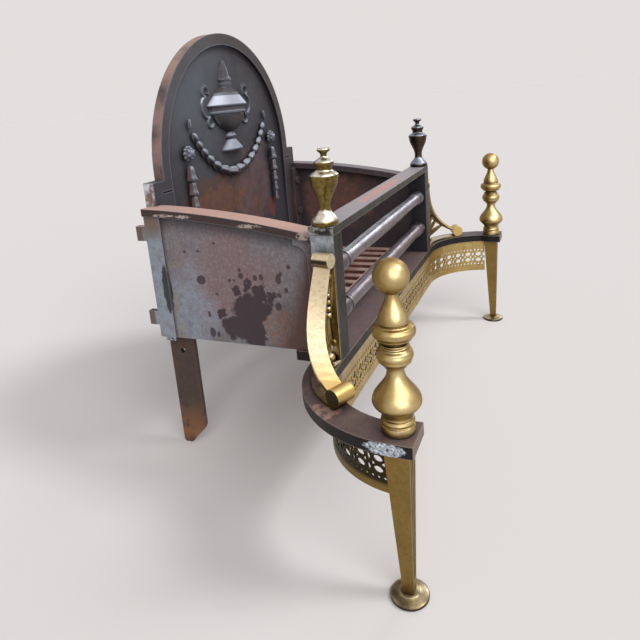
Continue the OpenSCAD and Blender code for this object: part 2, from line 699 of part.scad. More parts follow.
// A ribbon wrapped on the bracket's curve: stations [distance, height, half thickness along
// the normal], standing between the radii r1 and r2
module ribbon(line, half, r1, r2) {
    n = len(line) - 1;
    dirs = [for (i = [0 : n]) let (d = line[min(i + 1, n)] - line[max(i - 1, 0)]) d / norm(d)];
    pts = [for (i = [0 : n]) let (m = [-dirs[i][1], dirs[i][0]] * half[i], a = line[i] + m, b = line[i] - m)
        each [brk_point(a[0], r1, a[1]), brk_point(a[0], r2, a[1]),
            brk_point(b[0], r2, b[1]), brk_point(b[0], r1, b[1])]];
    polyhedron(pts, concat([[3, 2, 1, 0]], [[4 * n, 4 * n + 1, 4 * n + 2, 4 * n + 3]],
        [for (i = [0 : n - 1]) for (k = [0 : 3]) let (a = 4 * i + k, b = 4 * i + (k + 1) % 4)
            each [[b, a + 4, a], [b + 4, a + 4, b]]]), convexity = 6);
}

module strap() {
    steps = 14;
    line = [for (i = [0 : steps]) brk_line(i / steps)];
    ribbon(line, [for (i = [0 : steps]) brk_t / 2], brk_r - brk_w / 2, brk_r + brk_w / 2);
    brk_place(brk_top[0]) translate([0, -brk_w / 2 - 0.6, shelf_z + roll_up_h]) rotate([-90, 0, 0])
        cylinder(r = roll_up_r, h = brk_w + 1.2, $fn = 48);
    brk_place(brk_l) translate([0, -brk_w / 2 - 1.6, shelf_z + brk_base + roll_low_r])
        rotate([-90, 0, 0]) cylinder(r = roll_low_r, h = brk_w + 3.2, $fn = 48);
}
module bracket_strap_left() color(pale_brass) placed() side(-1) strap();
module bracket_strap_right() color(pale_brass) placed() side(1) strap();

// The openwork under the strap: an upright on the stile, a bar on the wing, a rib that follows
// the strap, and a fan of leaves that grows out of the corner with a row of beads above it
module leaf(turn, long) {
    steps = 8;
    ribbon([for (i = [0 : steps]) leaf_hub + long * i / steps * [cos(turn), sin(turn)]],
        [for (i = [0 : steps]) 0.9 + 2.6 * sin(180 * pow(i / steps, 1.6))], brk_r - 1.6, brk_r + 1.6);
}
module openwork() {
    low = wing_d + brk_set - brk_w / 2 + 2;
    wide = brk_w - 4;
    difference() {
        union() {
            translate([frame_x, low, shelf_z]) cube([3, wide, roll_up_h - roll_up_r - 0.3]);
            translate([brk_cx, brk_cy, shelf_z]) rotate([0, 0, 90 + brk_turn - brk_l / brk_r * 180 / PI])
                rotate_extrude(angle = (brk_l - 1) / brk_r * 180 / PI, $fn = 96)
                translate([brk_r - brk_w / 2 + 0.5, 0]) square([brk_w - 1, brk_base - 0.3]);
        }
        bracket_screw_places() translate([0, 0, -6]) cylinder(d = screw_hole_d, h = 12, $fn = 32);
    }
    ribbon([for (i = [1 : 15]) brk_line(0.06 + 0.058 * i, brk_t / 2 + 1.3)],
        [for (i = [1 : 15]) 1.1], brk_r - 3, brk_r + 3);
    for (i = [0 : len(leaf_turns) - 1]) leaf(leaf_turns[i], leaf_reach(leaf_turns[i]));
    brk_place(leaf_hub[0]) translate([0, 0, shelf_z + leaf_hub[1]]) sphere(5, $fn = 32);
    for (k = [0 : 3]) brk_place(5.8 - 0.35 * k) translate([0, 0, shelf_z + 48 + 6.4 * k])
        sphere(3.4 - 0.35 * k, $fn = 24);
}
// The three screws of a bracket, each with its head's seat at Z = 0
module bracket_screw_places() {
    for (h = brk_screw_h) translate([frame_x + 3, brk_screw_y, shelf_z + h]) rotate([0, 90, 0]) children();
    brk_place(brk_screw_s) translate([0, 0, shelf_z + brk_base - 0.3]) children();
}
// How far a leaf runs at its turn before it meets the rib
function leaf_reach(turn) = leaf_meet(turn, 0.95);
function leaf_meet(turn, t) = let (v = brk_line(t, brk_t / 2 + 1.3) - leaf_hub, a = atan2(v[1], v[0]))
    a >= turn || t < 0.08 ? norm(v) : leaf_meet(turn, t - 0.02);
module bracket_openwork_left() color(brass) placed() side(-1) openwork();
module bracket_openwork_right() color(brass) placed() side(1) openwork();

// The finials

module ball_finial() {
    k = ball_h / 121.4;
    neck = 5.7;
    drop = sqrt(ball_r * ball_r - neck * neck);
    translate([leg_spacing / 2, 0, shelf_z]) difference() {
        union() {
            turning([[13.2, 0], [13.2, 6 * k], [12.1, 7 * k], [12.7, 8.6 * k], [11.2, 10.8 * k], [18.5, 26.2 * k],
                [6.6, 49 * k], [6.6, 51.5 * k], [13.7, 63.8 * k], [10.8, 68.6 * k], [8.2, 70.8 * k],
                [8.2, 72 * k], [16.2, 81.2 * k], [11.6, 85.4 * k], [10.9, 86.2 * k], [11.6, 87.2 * k],
                [neck, ball_h - drop]], 6);
            translate([0, 0, ball_h]) sphere(ball_r, $fn = 64);
        }
        translate([0, 0, -1]) cylinder(d = stud_d, h = leg_stud_up + 1, $fn = 32);
    }
}
module ball_finial_left() color(brass) placed() side(-1) ball_finial();
module ball_finial_right() color(brass) placed() side(1) ball_finial();

module urn_finial() {
    k = urn_fin_h / 70.5;
    r = urn_fin_r;
    translate([urn_x, stile_y, shelf_z + frame_h]) difference() {
        turning([[12.6, 0], [12.8, 2.6 * k], [5.3, 15.6 * k], [5.2, 18 * k], [r - 0.6, 42 * k], [r, 45 * k],
            [7.4, 51 * k], [7.4, 52.4 * k], [9.3, 57.2 * k], [2.9, 63 * k], [2.9, 64.4 * k], [6, 68.4 * k],
            [5.4, 70 * k], [0.5, urn_fin_h]], 5);
        translate([0, 0, -1]) cylinder(d = stud_d, h = rail_stud_up - rail_t + 1, $fn = 32);
    }
}
module urn_finial_left() color(brass) placed() side(-1) urn_finial();
module urn_finial_right() color(brass) placed() side(1) urn_finial();

// Studs, bolts, nuts and screws

module leg_studs() color("#807a70") placed() for (s = [-1, 1])
    translate([s * leg_spacing / 2, 0, shelf_under_z - leg_stud_in + 1])
        cylinder(d = stud_d, h = leg_stud_in + shelf_t + leg_stud_up - 2, $fn = 32);

module rail_studs() color("#807a70") placed() for (s = [-1, 1])
    translate([s * urn_x, stile_y, shelf_z + rail_h - rail_stud_in + 1])
        cylinder(d = stud_d, h = rail_stud_in + rail_stud_up - 2, $fn = 32);

// Countersunk screws up through the shelf into the stiles
module stile_screws() color(iron) placed() for (s = [-1, 1])
    translate([s * stile_x, stile_y, shelf_under_z]) {
        cylinder(d1 = bolt_d * 2, d2 = bolt_d, h = bolt_d / 2, $fn = 32);
        cylinder(d = bolt_d, h = shelf_t + stile_screw_l, $fn = 32);
    }

module cheek_bolts() color(iron) placed() for (s = [-1, 1]) side(s) cheek_bolt_places() {
    translate([0, 0, -flange_t - 4]) cylinder(r = bolt_d, h = 4, $fn = 32);
    translate([0, 0, -flange_t - 1]) cylinder(d = bolt_d, h = flange_t + back_t + nut_t + 4, $fn = 32);
}
module cheek_nuts() color(iron) placed() for (s = [-1, 1]) side(s) cheek_bolt_places()
    translate([0, 0, back_t]) square_nut();

module square_nut() {
    difference() {
        translate([-nut_w / 2, -nut_w / 2, 0]) cube([nut_w, nut_w, nut_t]);
        translate([0, 0, -1]) cylinder(d = bolt_d, h = nut_t + 2, $fn = 32);
    }
}

module rear_leg_bolts() color(iron) placed() for (s = [-1, 1]) side(s) rear_bolt_places() {
    translate([0, 0, -back_t]) cylinder(r1 = bolt_d, r2 = bolt_d / 2, h = bolt_d / 2, $fn = 32);
    translate([0, 0, -back_t]) cylinder(d = bolt_d, h = back_t + rear_past + nut_t + 3, $fn = 32);
}
module rear_leg_nuts() color(iron) placed() for (s = [-1, 1]) side(s) rear_bolt_places()
    translate([0, 0, rear_past]) square_nut();

module apron_screws() color(brass) placed() apron_tabs() translate([0, 0, shelf_under_z - 4]) {
    cylinder(r = screw_d, h = 2, $fn = 32);
    cylinder(d = screw_d, h = 4 + apron_screw_l, $fn = 32);
}

module bracket_screws() color(brass) placed() for (s = [-1, 1]) side(s) bracket_screw_places() {
    translate([0, 0, -10.5]) cylinder(d = screw_d, h = 11, $fn = 32);
    cylinder(r1 = screw_d, r2 = screw_d * 0.6, h = 1.8, $fn = 32);
}

shelf_plate();
stile_left();
stile_right();
top_rail();
front_bar_lower();
front_bar_upper();
cheek_left();
cheek_right();
fireback();
grid_ledge();
bottom_grid();
rear_leg_left();
rear_leg_right();
front_leg_left();
front_leg_right();
foot_disc_left();
foot_disc_right();
pierced_apron();
bracket_strap_left();
bracket_strap_right();
bracket_openwork_left();
bracket_openwork_right();
ball_finial_left();
ball_finial_right();
urn_finial_left();
urn_finial_right();
leg_studs();
rail_studs();
stile_screws();
cheek_bolts();
cheek_nuts();
rear_leg_bolts();
rear_leg_nuts();
apron_screws();
bracket_screws();
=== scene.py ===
# %% [markdown]
# # A fire grate in iron and brass
# The grate is an iron basket in front of a cast fireback. It stands on a shelf whose two wings curve
# forward over brass legs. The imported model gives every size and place, so this script only adds the
# looks: finer meshes where the eye lingers, and a finish for each surface.

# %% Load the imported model
import math

import bmesh
import bpy
from mathutils import Euler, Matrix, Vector


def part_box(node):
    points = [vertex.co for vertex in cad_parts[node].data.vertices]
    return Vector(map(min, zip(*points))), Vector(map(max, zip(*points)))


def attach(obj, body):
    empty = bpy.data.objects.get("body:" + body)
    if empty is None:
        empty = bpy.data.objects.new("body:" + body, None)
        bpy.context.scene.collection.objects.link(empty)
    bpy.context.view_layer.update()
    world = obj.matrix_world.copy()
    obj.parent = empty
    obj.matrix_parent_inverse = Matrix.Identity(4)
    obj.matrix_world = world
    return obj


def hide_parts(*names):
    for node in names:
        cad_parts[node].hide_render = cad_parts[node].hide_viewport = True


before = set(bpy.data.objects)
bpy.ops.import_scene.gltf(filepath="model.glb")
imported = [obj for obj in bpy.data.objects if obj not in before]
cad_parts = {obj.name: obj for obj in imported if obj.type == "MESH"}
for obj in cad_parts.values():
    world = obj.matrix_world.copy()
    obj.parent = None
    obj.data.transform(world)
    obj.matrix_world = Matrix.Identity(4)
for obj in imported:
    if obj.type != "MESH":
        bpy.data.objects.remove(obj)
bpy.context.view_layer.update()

# %% [markdown]
# ## Measures
# A few places are read from the frame's boxes and used again and again: the top of the shelf, the axes
# of the front legs, the face of the fireback. They could be typed in, but read from the boxes they can't
# drift from the model. Everything is in metres, so a size in millimetres is multiplied by `mm`. X runs
# to the right along the front, Y to the back and Z up.

# %% Measures read from the frame
mm = 0.001
X, Y, Z = 0, 1, 2
LEFT, FRONT, UP, DOWN = (-1, 0, 0), (0, -1, 0), (0, 0, 1), (0, 0, -1)
SCENE = bpy.context.scene


def middle(node):
    """The middle of a node's box."""
    return [(low + high) / 2 for low, high in zip(*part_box(node))]


shelf_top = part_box("shelf_plate")[1].z
leg_x, leg_y = middle("ball_finial_right")[:2]
stile_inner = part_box("stile_right")[0].x
cheek_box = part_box("cheek_right")
outer_x = -cheek_box[1].x  # the outer face of the near cheek
back_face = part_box("fireback")[0].y
panel_face = back_face + 14 * mm  # the sunk panel behind the relief
print("shelf top", round(shelf_top, 4), "leg axis", round(leg_x, 4), round(leg_y, 4))

# %% [markdown]
# ## Camera
# The camera was found by matching corners of the grate with their places in the photograph. The small
# vertical shift is part of the photograph's framing.

# %% Camera
camera = bpy.data.objects.new("camera", bpy.data.cameras.new("camera"))
SCENE.collection.objects.link(camera)
camera.location = (-0.67296, leg_y - 0.11006, 0.39834)
camera.rotation_euler = Euler([math.radians(a) for a in (75.952, 4.499, -67.725)])
camera.data.sensor_width = 36
camera.data.lens = 32.64
camera.data.shift_y = -0.126
camera.data.clip_start = 0.01
camera.data.clip_end = 200
SCENE.camera = camera
print("camera at", [round(v, 3) for v in camera.location])

# %% [markdown]
# ## Nodes and colours
# A finish is a small network of shader nodes. One function adds a node, sets it and links it, so that a
# network reads from top to bottom. Colours are written as sRGB hex values, and one function turns them
# into the linear values that a shader needs.

# %% One function for colours, one for nodes
def srgb(hex_colour):
    values = [int(hex_colour[i:i + 2], 16) / 255 for i in (1, 3, 5)]
    linear = [v / 12.92 if v <= 0.04045 else ((v + 0.055) / 1.055) ** 2.4 for v in values]
    return (*linear, 1.0)


def add(tree, kind, inputs=None, **settings):
    """Adds a shader node. A value in inputs is either a plain value or a socket to link."""
    node = tree.nodes.new(kind)
    for name, value in settings.items():
        setattr(node, name, value)
    for key, value in (inputs or {}).items():
        if isinstance(value, bpy.types.NodeSocket):
            tree.links.new(value, node.inputs[key])
        else:
            node.inputs[key].default_value = value
    return node


def new_finish(name):
    """A new material, with one node that gives its patterns their places."""
    material = bpy.data.materials.new(name)
    material.use_nodes = True
    tree = material.node_tree
    tree.nodes.clear()
    add(tree, "ShaderNodeTexCoord", name="place")
    return material, tree


def place_of(tree):
    """The point being shaded, in metres of the row frame."""
    return tree.nodes["place"].outputs["Object"]


print("helpers for finishes are ready")

# %% [markdown]
# ## Masks
# Old iron and brass are never one colour. Each finish is laid up in layers, and a mask says where a layer
# shows: in clouds of a real size in millimetres, along worn edges, in hollows, in one stained place, or
# along one direction. A mask runs from 0 to 1. It is described once, without a finish, and built as nodes
# in each finish that uses it. Such marks could be painted on an image as well; masks made from nodes
# need no unwrapping and stay sharp from close by.

# %% Masks for clouds, worn edges and hollows
def mask(make):
    """Lets a mask be described first and built later, in the tree of each finish that uses it."""
    def describe(*values, **settings):
        return lambda tree: make(tree, *values, **settings)
    return describe


@mask
def clouds(tree, size_mm, cover, soft=0.08, detail=4.0, shift=(0, 0, 0)):
    """Noise clouds of about size_mm; cover is the part of the surface they take."""
    moved = add(tree, "ShaderNodeMapping", {"Vector": place_of(tree), "Location": shift})
    noise = add(tree, "ShaderNodeTexNoise", {
        "Vector": moved.outputs[0], "Scale": 1000 / size_mm, "Detail": detail, "Roughness": 0.6})
    edge = 0.5 + 0.32 * (0.5 - cover)
    return add(tree, "ShaderNodeMapRange", {
        "Value": noise.outputs["Fac"], "From Min": edge - soft, "From Max": edge + soft}).outputs[0]


@mask
def worn_edges(tree, width_mm):
    """1 on edges and corners, where hands and pokers rub a finish away."""
    geometry = add(tree, "ShaderNodeNewGeometry")
    rounded = add(tree, "ShaderNodeBevel", {"Radius": width_mm * mm}, samples=4)
    turn = add(tree, "ShaderNodeVectorMath", {0: geometry.outputs["Normal"], 1: rounded.outputs[0]},
               operation="DOT_PRODUCT")
    return add(tree, "ShaderNodeMapRange", {
        "Value": turn.outputs["Value"], "From Min": 0.996, "From Max": 0.966}).outputs[0]


@mask
def recesses(tree, reach_mm, strength=1.0):
    """1 in hollows and corners, where soot and tarnish stay and where shade falls; the finishes paint it
    as soot, tarnish and painted shade.
    """
    open_sky = add(tree, "ShaderNodeAmbientOcclusion", {"Distance": reach_mm * mm}, samples=8)
    return add(tree, "ShaderNodeMapRange", {
        "Value": open_sky.outputs["AO"], "From Min": 0.95, "From Max": 0.35,
        "To Max": strength}).outputs[0]


print("masks for clouds, edges and hollows are ready")

# %% Masks for stained places and for directions
@mask
def stain(tree, centre, radii, ragged=0.5, size_mm=16, soft=0.06):
    """A ragged spot about a centre, both in metres of the row frame."""
    offset = add(tree, "ShaderNodeVectorMath", {0: place_of(tree), 1: centre}, operation="SUBTRACT")
    scaled = add(tree, "ShaderNodeVectorMath", {0: offset.outputs[0], 1: radii}, operation="DIVIDE")
    reach = add(tree, "ShaderNodeVectorMath", {0: scaled.outputs[0]}, operation="LENGTH")
    noise = add(tree, "ShaderNodeTexNoise", {
        "Vector": place_of(tree), "Scale": 1000 / size_mm, "Detail": 3.0})
    waver = add(tree, "ShaderNodeMath", {0: noise.outputs["Fac"], 1: 2 * ragged, 2: -ragged},
                operation="MULTIPLY_ADD")
    total = add(tree, "ShaderNodeMath", {0: reach.outputs["Value"], 1: waver.outputs[0]}, operation="ADD")
    return add(tree, "ShaderNodeMapRange", {
        "Value": total.outputs[0], "From Min": 1 + soft, "From Max": 1 - soft}).outputs[0]


@mask
def blots(tree, spots, ragged_mm, size_mm=7):
    """Spots (y, z, half width, half height) in mm on a side of the grate, with ragged edges."""
    noise = add(tree, "ShaderNodeTexNoise", {
        "Vector": place_of(tree), "Scale": 1000 / size_mm, "Detail": 3.0})
    centred = add(tree, "ShaderNodeVectorMath", {0: noise.outputs["Color"], 1: (0.5, 0.5, 0.5)},
                  operation="SUBTRACT")
    bent = add(tree, "ShaderNodeVectorMath", {
        0: centred.outputs[0], 1: [4 * ragged_mm * mm] * 3, 2: place_of(tree)}, operation="MULTIPLY_ADD")
    nearest = None
    for y, z, wide, tall in spots:
        scaled = add(tree, "ShaderNodeVectorMath", {
            0: bent.outputs[0], 1: (0, 1 / (wide * mm), 1 / (tall * mm)), 2: (0, -y / wide, -z / tall)},
            operation="MULTIPLY_ADD")
        length = add(tree, "ShaderNodeVectorMath", {0: scaled.outputs[0]}, operation="LENGTH")
        reach = length.outputs["Value"]
        if nearest:
            reach = add(tree, "ShaderNodeMath", {0: nearest, 1: reach}, operation="MINIMUM").outputs[0]
        nearest = reach
    return add(tree, "ShaderNodeMapRange", {
        "Value": nearest, "From Min": 1.08, "From Max": 0.9}).outputs[0]


@mask
def along(tree, axis, start, end):
    """Runs from 0 at start to 1 at end along the row's X, Y or Z axis."""
    split = add(tree, "ShaderNodeSeparateXYZ", {0: place_of(tree)})
    return add(tree, "ShaderNodeMapRange", {
        "Value": split.outputs[axis], "From Min": start, "From Max": end}).outputs[0]


@mask
def facing(tree, direction, start=0.6, end=0.9):
    """1 on surfaces that face a direction of the row frame."""
    geometry = add(tree, "ShaderNodeNewGeometry")
    dot = add(tree, "ShaderNodeVectorMath", {0: geometry.outputs["Normal"], 1: direction},
              operation="DOT_PRODUCT")
    return add(tree, "ShaderNodeMapRange", {
        "Value": dot.outputs["Value"], "From Min": start, "From Max": end}).outputs[0]


print("masks for places and directions are ready")

# %% Masks put together, and the shader that they feed
near_side = facing(LEFT, 0.5, 0.8)  # the side of the grate that the photograph shows
tops = facing(UP, 0.5, 0.9)


def built(tree, part):
    """Builds a part that is a described mask; a socket or a number stays as it is."""
    return part(tree) if callable(part) else part


@mask
def either(tree, first, second):
    """Where one mask or the other holds."""
    return add(tree, "ShaderNodeMath", {0: built(tree, first), 1: built(tree, second)},
               operation="MAXIMUM").outputs[0]


@mask
def both(tree, *parts):
    """Where all the masks, or part of them for a plain number, hold."""
    total = built(tree, parts[0])
    for part in parts[1:]:
        total = add(tree, "ShaderNodeMath", {0: total, 1: built(tree, part)},
                    operation="MULTIPLY").outputs[0]
    return total


def layered(tree, base, layers):
    """Lays colours over a base, each by its mask."""
    colour = srgb(base)
    for part, over in layers:
        mix = add(tree, "ShaderNodeMix", {0: part(tree), 6: colour, 7: srgb(over)}, data_type="RGBA")
        colour = mix.outputs[2]
    return colour


def finished(tree, colour, roughness, metallic, bumps, gloss=0.5):
    """Joins colour, roughness and bumps [socket, height in mm, strength] into the shader."""
    normal = None
    for height, depth_mm, strength in bumps:
        inputs = {"Height": height, "Distance": depth_mm * mm, "Strength": strength}
        if normal:
            inputs["Normal"] = normal
        normal = add(tree, "ShaderNodeBump", inputs).outputs[0]
    shader = add(tree, "ShaderNodeBsdfPrincipled", {
        "Base Color": colour, "Roughness": roughness, "Metallic": metallic, "Normal": normal,
        "Specular IOR Level": gloss})
    add(tree, "ShaderNodeOutputMaterial", {"Surface": shader.outputs[0]})


print("layers and shader are ready")

# %% [markdown]
# ## Cast iron
# The basket is grey cast iron: sand-cast, so its skin is finely pebbled, and worn by a century of coal.
# Bare iron is a dull dark metal, and rust is not a metal at all, so every iron here is drawn as a rough
# dielectric with a low sheen, and the colour layers do the work. The sand grain is about 1 mm and the
# rust blooms are 10 to 60 mm across.

# %% Cast iron in its several states
def cast_iron(name, base, bloom, speck, worn, wear=0.6, bloom_mm=45, roughness=0.6,
              grain=0.35, metallic=0.25, edge_mm=1.2, extra=()):
    """Sand-cast iron: clouds of bloom, fine specks, edges rubbed to a paler iron, and hollows painted near
    black as soot and painted shade.
    """
    material, tree = new_finish(name)
    colour = layered(tree, base, [
        (clouds(bloom_mm, 0.45, soft=0.16), bloom),
        (both(clouds(7, 0.5, soft=0.2, shift=(3, 1, 2)), 0.45), speck),
        (both(clouds(2.2, 0.22, soft=0.05, shift=(1, 5, 2)), 0.6), speck),
        *extra,
        (both(worn_edges(edge_mm), wear), worn),
        # Hollows near black: soot, and painted shade
        (recesses(14, 0.6), "#1c1817")])
    shine = clouds(18, 0.5, soft=0.3, shift=(7, 2, 1))(tree)
    rough = add(tree, "ShaderNodeMapRange", {
        "Value": shine, "To Min": roughness - 0.12, "To Max": roughness + 0.14}).outputs[0]
    # The sand's grain is about 1 mm, and drawn at 1.6 mm so that it shows
    sand = add(tree, "ShaderNodeTexNoise", {"Vector": place_of(tree), "Scale": 1000 / 1.6, "Detail": 3.0})
    pits = clouds(9, 0.5, soft=0.3, detail=6)(tree)
    bumps = [(pits, 0.5, 0.35), (sand.outputs["Fac"], 0.3, grain)]
    finished(tree, colour, rough, metallic, bumps, gloss=0.25)
    return material


print("cast iron is ready")

# %% Iron of the bars, the grid, the rear legs and the fixings
# The ribs' pale tops: a painted highlight
rib_top_highlight = both(tops, clouds(26, 0.75, soft=0.2), 0.9)
# A paler top on both bars: a painted highlight
bar_top_highlight = both(facing((-0.1, -0.1, 0.98), 0.45, 0.9), clouds(24, 0.8, soft=0.3), 0.7)
bar_level = (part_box("front_bar_lower")[1].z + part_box("front_bar_upper")[0].z) / 2
# A painted highlight, almost white, along the top of the upper bar
upper_bar_highlight = both(bar_top_highlight, along(Z, bar_level - 0.001, bar_level + 0.001))
# Darker on the bulb and in the groove at each end of the bars, next to the stiles
dark_bar_ends = both(either(along(X, 0.030 - stile_inner, 0.024 - stile_inner),
                          along(X, stile_inner - 0.030, stile_inner - 0.024)), 0.72)
toe_rust = both(along(Z, 0.06, 0.015), clouds(16, 0.7), 0.9)

# Dull grey, so that bolts and nuts stay quiet beside the pieces they hold
fixing_iron = cast_iron("fixing_iron", "#4d4644", "#594b46", "#3c3534", "#77706d")
# Rubbed smooth by pokers, with a painted highlight along the top that adds to the long pale streak of
# light and tells the eye the bars are round
bar_iron = cast_iron("smooth_bar_iron", "#7f767e", "#6e6265", "#544a4c", "#a49aa0", roughness=0.34,
                     grain=0.12, metallic=0.8, bloom_mm=30,
                     extra=[(bar_top_highlight, "#a39ca6"), (upper_bar_highlight, "#d3d8e4"), (dark_bar_ends, "#453e44")])
# Red-brown with a pale painted highlight on top, so that the ribs read as rusted by the fire
grid_iron = cast_iron("rusty_grid_iron", "#86524a", "#70403a", "#52302b", "#d3b1a4",
                      extra=[(rib_top_highlight, "#e6c8bc")], wear=0.8, roughness=0.7)
# Brown-black, with orange rust at the toe that says iron has stood on a damp hearth
rear_leg_iron = cast_iron("rear_leg_iron", "#4c413d", "#5a463c", "#3a3231", "#6d625c",
                          extra=[(toe_rust, "#8a6040")])
print("iron finishes so far:", bar_iron.name, grid_iron.name, rear_leg_iron.name)

# %% [markdown]
# ## The iron cheek
# The near cheek is the side that the photograph shows best. Its sunk panel is blue-grey where the iron is
# bare, rust brown towards the front, and a splash has left a dark stain with drops around it. The broad
# rim on top has gone pink with fine rust. The places were read off the photograph, in mm back along the
# cheek and up from the floor, and the outer faces alone carry them.

# %% Marks on the near cheek
stain_lobes = [
    (31, 190, 24, 15), (42, 170, 27, 14), (29, 157, 12, 12), (32.6, 216, 5, 10), (47, 209, 5, 6),
    (20, 209, 7, 8), (8, 203.7, 5, 9), (68.3, 183.8, 4, 6)]
stain_drops = [
    (87.9, 219.1, 5.9, 5), (40.5, 232.5, 2, 2), (39.1, 226.2, 2.8, 3.5), (23.4, 224.9, 2.4, 3.3),
    (16.3, 225.7, 2.4, 3.6), (-3, 224.7, 3.4, 5.6), (-5.8, 230, 1.9, 2.8), (-15, 237.7, 2.3, 2.2),
    (-0.3, 195.7, 3.9, 4.3), (-3, 207.7, 2.1, 2.4), (83.4, 181.3, 1.7, 3.7), (81.7, 160.8, 3.5, 5.3),
    (74.9, 159.2, 2.2, 3.2), (70.7, 205.2, 1.8, 1.4), (104.2, 249.3, 1.7, 1.5), (87.7, 250.7, 1.7, 1.5),
    (67.1, 259.5, 1.8, 1.5), (53.6, 220.1, 1.8, 1.6), (48.3, 220.8, 1.5, 1.6), (-10.7, 213.4, 1.8, 2.9)]
# A dark vertical streak near the back border of the panel
rear_dark_streak = [(132, 207, 5, 28)]
bare_chips = [(122, 289, 13, 1.6), (97, 288, 10, 1.5), (22, 279, 15, 1.8), (-38, 270, 10, 4)]
print("stain lobes and drops:", len(stain_lobes), len(stain_drops))

# %% Bare iron and rust on the near cheek
pink_bloom = both(near_side, stain((outer_x, 0.055, 0.225), (0.1, 0.05, 0.05),
                                   ragged=0.9, size_mm=40, soft=0.3), 0.65)
# A paler blue band towards the back of the sunk panel: a painted highlight
blue_highlight_band = both(near_side, stain((outer_x, 0.108, 0.182), (0.1, 0.030, 0.046),
                                    ragged=0.7, size_mm=30, soft=0.35), clouds(9, 0.75, soft=0.3), 0.85)
orange_specks = both(near_side, stain((outer_x, 0.005, 0.175), (0.1, 0.016, 0.022), ragged=0.6),
                     clouds(4, 0.4), 0.7)
yellow_patches = both(near_side, along(Y, 0.104, 0.120), clouds(15, 0.3, shift=(2, 8, 3)), 0.5)
rear_border = both(near_side, along(Y, 0.128, 0.131), clouds(12, 0.75, soft=0.15), 0.85)


def rusty_front(tree):
    """Rust on the front third; its border leans back towards the bottom."""
    lean = add(tree, "ShaderNodeVectorMath", {0: place_of(tree), 1: (0, 1, 0.45)},
               operation="DOT_PRODUCT")
    noise = add(tree, "ShaderNodeTexNoise", {"Vector": place_of(tree), "Scale": 1000 / 30, "Detail": 4.0})
    waver = add(tree, "ShaderNodeMath", {0: noise.outputs["Fac"], 1: 0.05, 2: lean.outputs["Value"]},
                operation="MULTIPLY_ADD")
    front = add(tree, "ShaderNodeMapRange", {
        "Value": waver.outputs[0], "From Min": 0.112, "From Max": 0.088}).outputs[0]
    return both(near_side, front, 0.92)(tree)


print("the near cheek's outer face is at x =", round(outer_x, 4))

# %% Stains, cast grain and soot on the near cheek
dark_lobes = both(near_side, blots(stain_lobes, 6.0, 10), 0.95)
dark_drops = both(near_side, blots(stain_drops, 0.6), 0.92)
dark_streak = both(near_side, blots(rear_dark_streak, 1.5), 0.95)
# The cast skin's pits, drawn about 2.5 mm across so that they show
grains = both(near_side, clouds(2.6, 0.36, soft=0.08, detail=1), 0.24)
pale_grains = both(near_side, clouds(3.1, 0.26, soft=0.07, detail=1, shift=(5, 0, 9)), 0.2)
# The top rear corner with its lugs, which the soot has left brown
brown_corner = both(along(Y, 0.118, 0.134), along(Z, 0.258, 0.276), 0.85)
rear_lugs = both(along(Y, 0.1530, 0.1545), 0.9)


def shade_under_rim(tree):
    """Painted shade in the corner below the rim, which follows its curve, and along the front of the
    panel.
    """
    back = along(Y, cheek_box[0].y + 0.004, cheek_box[1].y - 0.016)(tree)
    bow = both(back, back)(tree)
    rise = add(tree, "ShaderNodeMath", {0: back, 1: 0.0426, 2: cheek_box[1].z - 0.0334},
               operation="MULTIPLY_ADD")
    curve = add(tree, "ShaderNodeMath", {0: bow, 1: -0.0172, 2: rise.outputs[0]}, operation="MULTIPLY_ADD")
    split = add(tree, "ShaderNodeSeparateXYZ", {0: place_of(tree)})
    depth = add(tree, "ShaderNodeMath", {0: curve.outputs[0], 1: split.outputs[Z]}, operation="SUBTRACT")
    near_rim = add(tree, "ShaderNodeMapRange", {
        "Value": depth.outputs[0], "From Min": 0.017, "From Max": 0.007}).outputs[0]
    near_stile = both(along(Y, -0.029, -0.039), 0.7)
    sunk = along(X, outer_x + 0.0030, outer_x + 0.0038)
    return both(near_side, sunk, either(near_rim, near_stile), 0.6)(tree)


print("the near cheek is", round(1000 * (cheek_box[1].y - cheek_box[0].y)), "mm deep")

# %% The cheeks' rims, and both finishes
# The narrow outer face of the rim is a little proud of the panel's border
rim_side = both(near_side, along(X, outer_x + 0.0016, outer_x + 0.0008), 0.95)
rim_chips = both(rim_side, blots(bare_chips, 1.2, 5), clouds(5, 0.62), 0.9)
pink_rim = both(facing(UP, 0.5, 0.8), along(Z, 0.24, 0.26), 0.92)
# Rust on the inner side of the far cheek, towards the fireback
fire_rust = both(near_side, stain((-outer_x, 0.075, 0.235), (0.1, 0.060, 0.040), ragged=0.8,
                                  size_mm=26, soft=0.3), clouds(14, 0.65, soft=0.25), 0.8)

# Blue-grey, brown and pink in turn: three ages of one plate, and the stain is what the eye finds first
near_cheek_iron = cast_iron(
    "blue_grey_cheek_iron", "#7d7e84", "#796f71", "#62595d", "#a2a7ae", bloom_mm=60, wear=0.45, extra=[
        (pink_bloom, "#84696a"), (blue_highlight_band, "#8f98a8"), (yellow_patches, "#8c8460"),
        (grains, "#5a5258"), (pale_grains, "#a1a0a6"), (rusty_front, "#5b423b"),
        (orange_specks, "#8b5f45"), (dark_lobes, "#40343a"), (dark_drops, "#473a3e"),
        (rear_border, "#8e98a4"), (brown_corner, "#6d5a4a"),
        (rear_lugs, "#65574b"), (dark_streak, "#34353a"), (shade_under_rim, "#35333a"), (rim_side, "#3d302e"),
        (rim_chips, "#b5a79c"), (pink_rim, "#cba69b")])
# Dark and brown, so that the basket looks deep behind the bars
far_cheek_iron = cast_iron(
    "sooty_cheek_iron", "#54484a", "#483f43", "#38323a", "#7a6e70",
    extra=[(fire_rust, "#84594b"), (pink_rim, "#857c82")])
print("cheek finishes:", near_cheek_iron.name, far_cheek_iron.name)

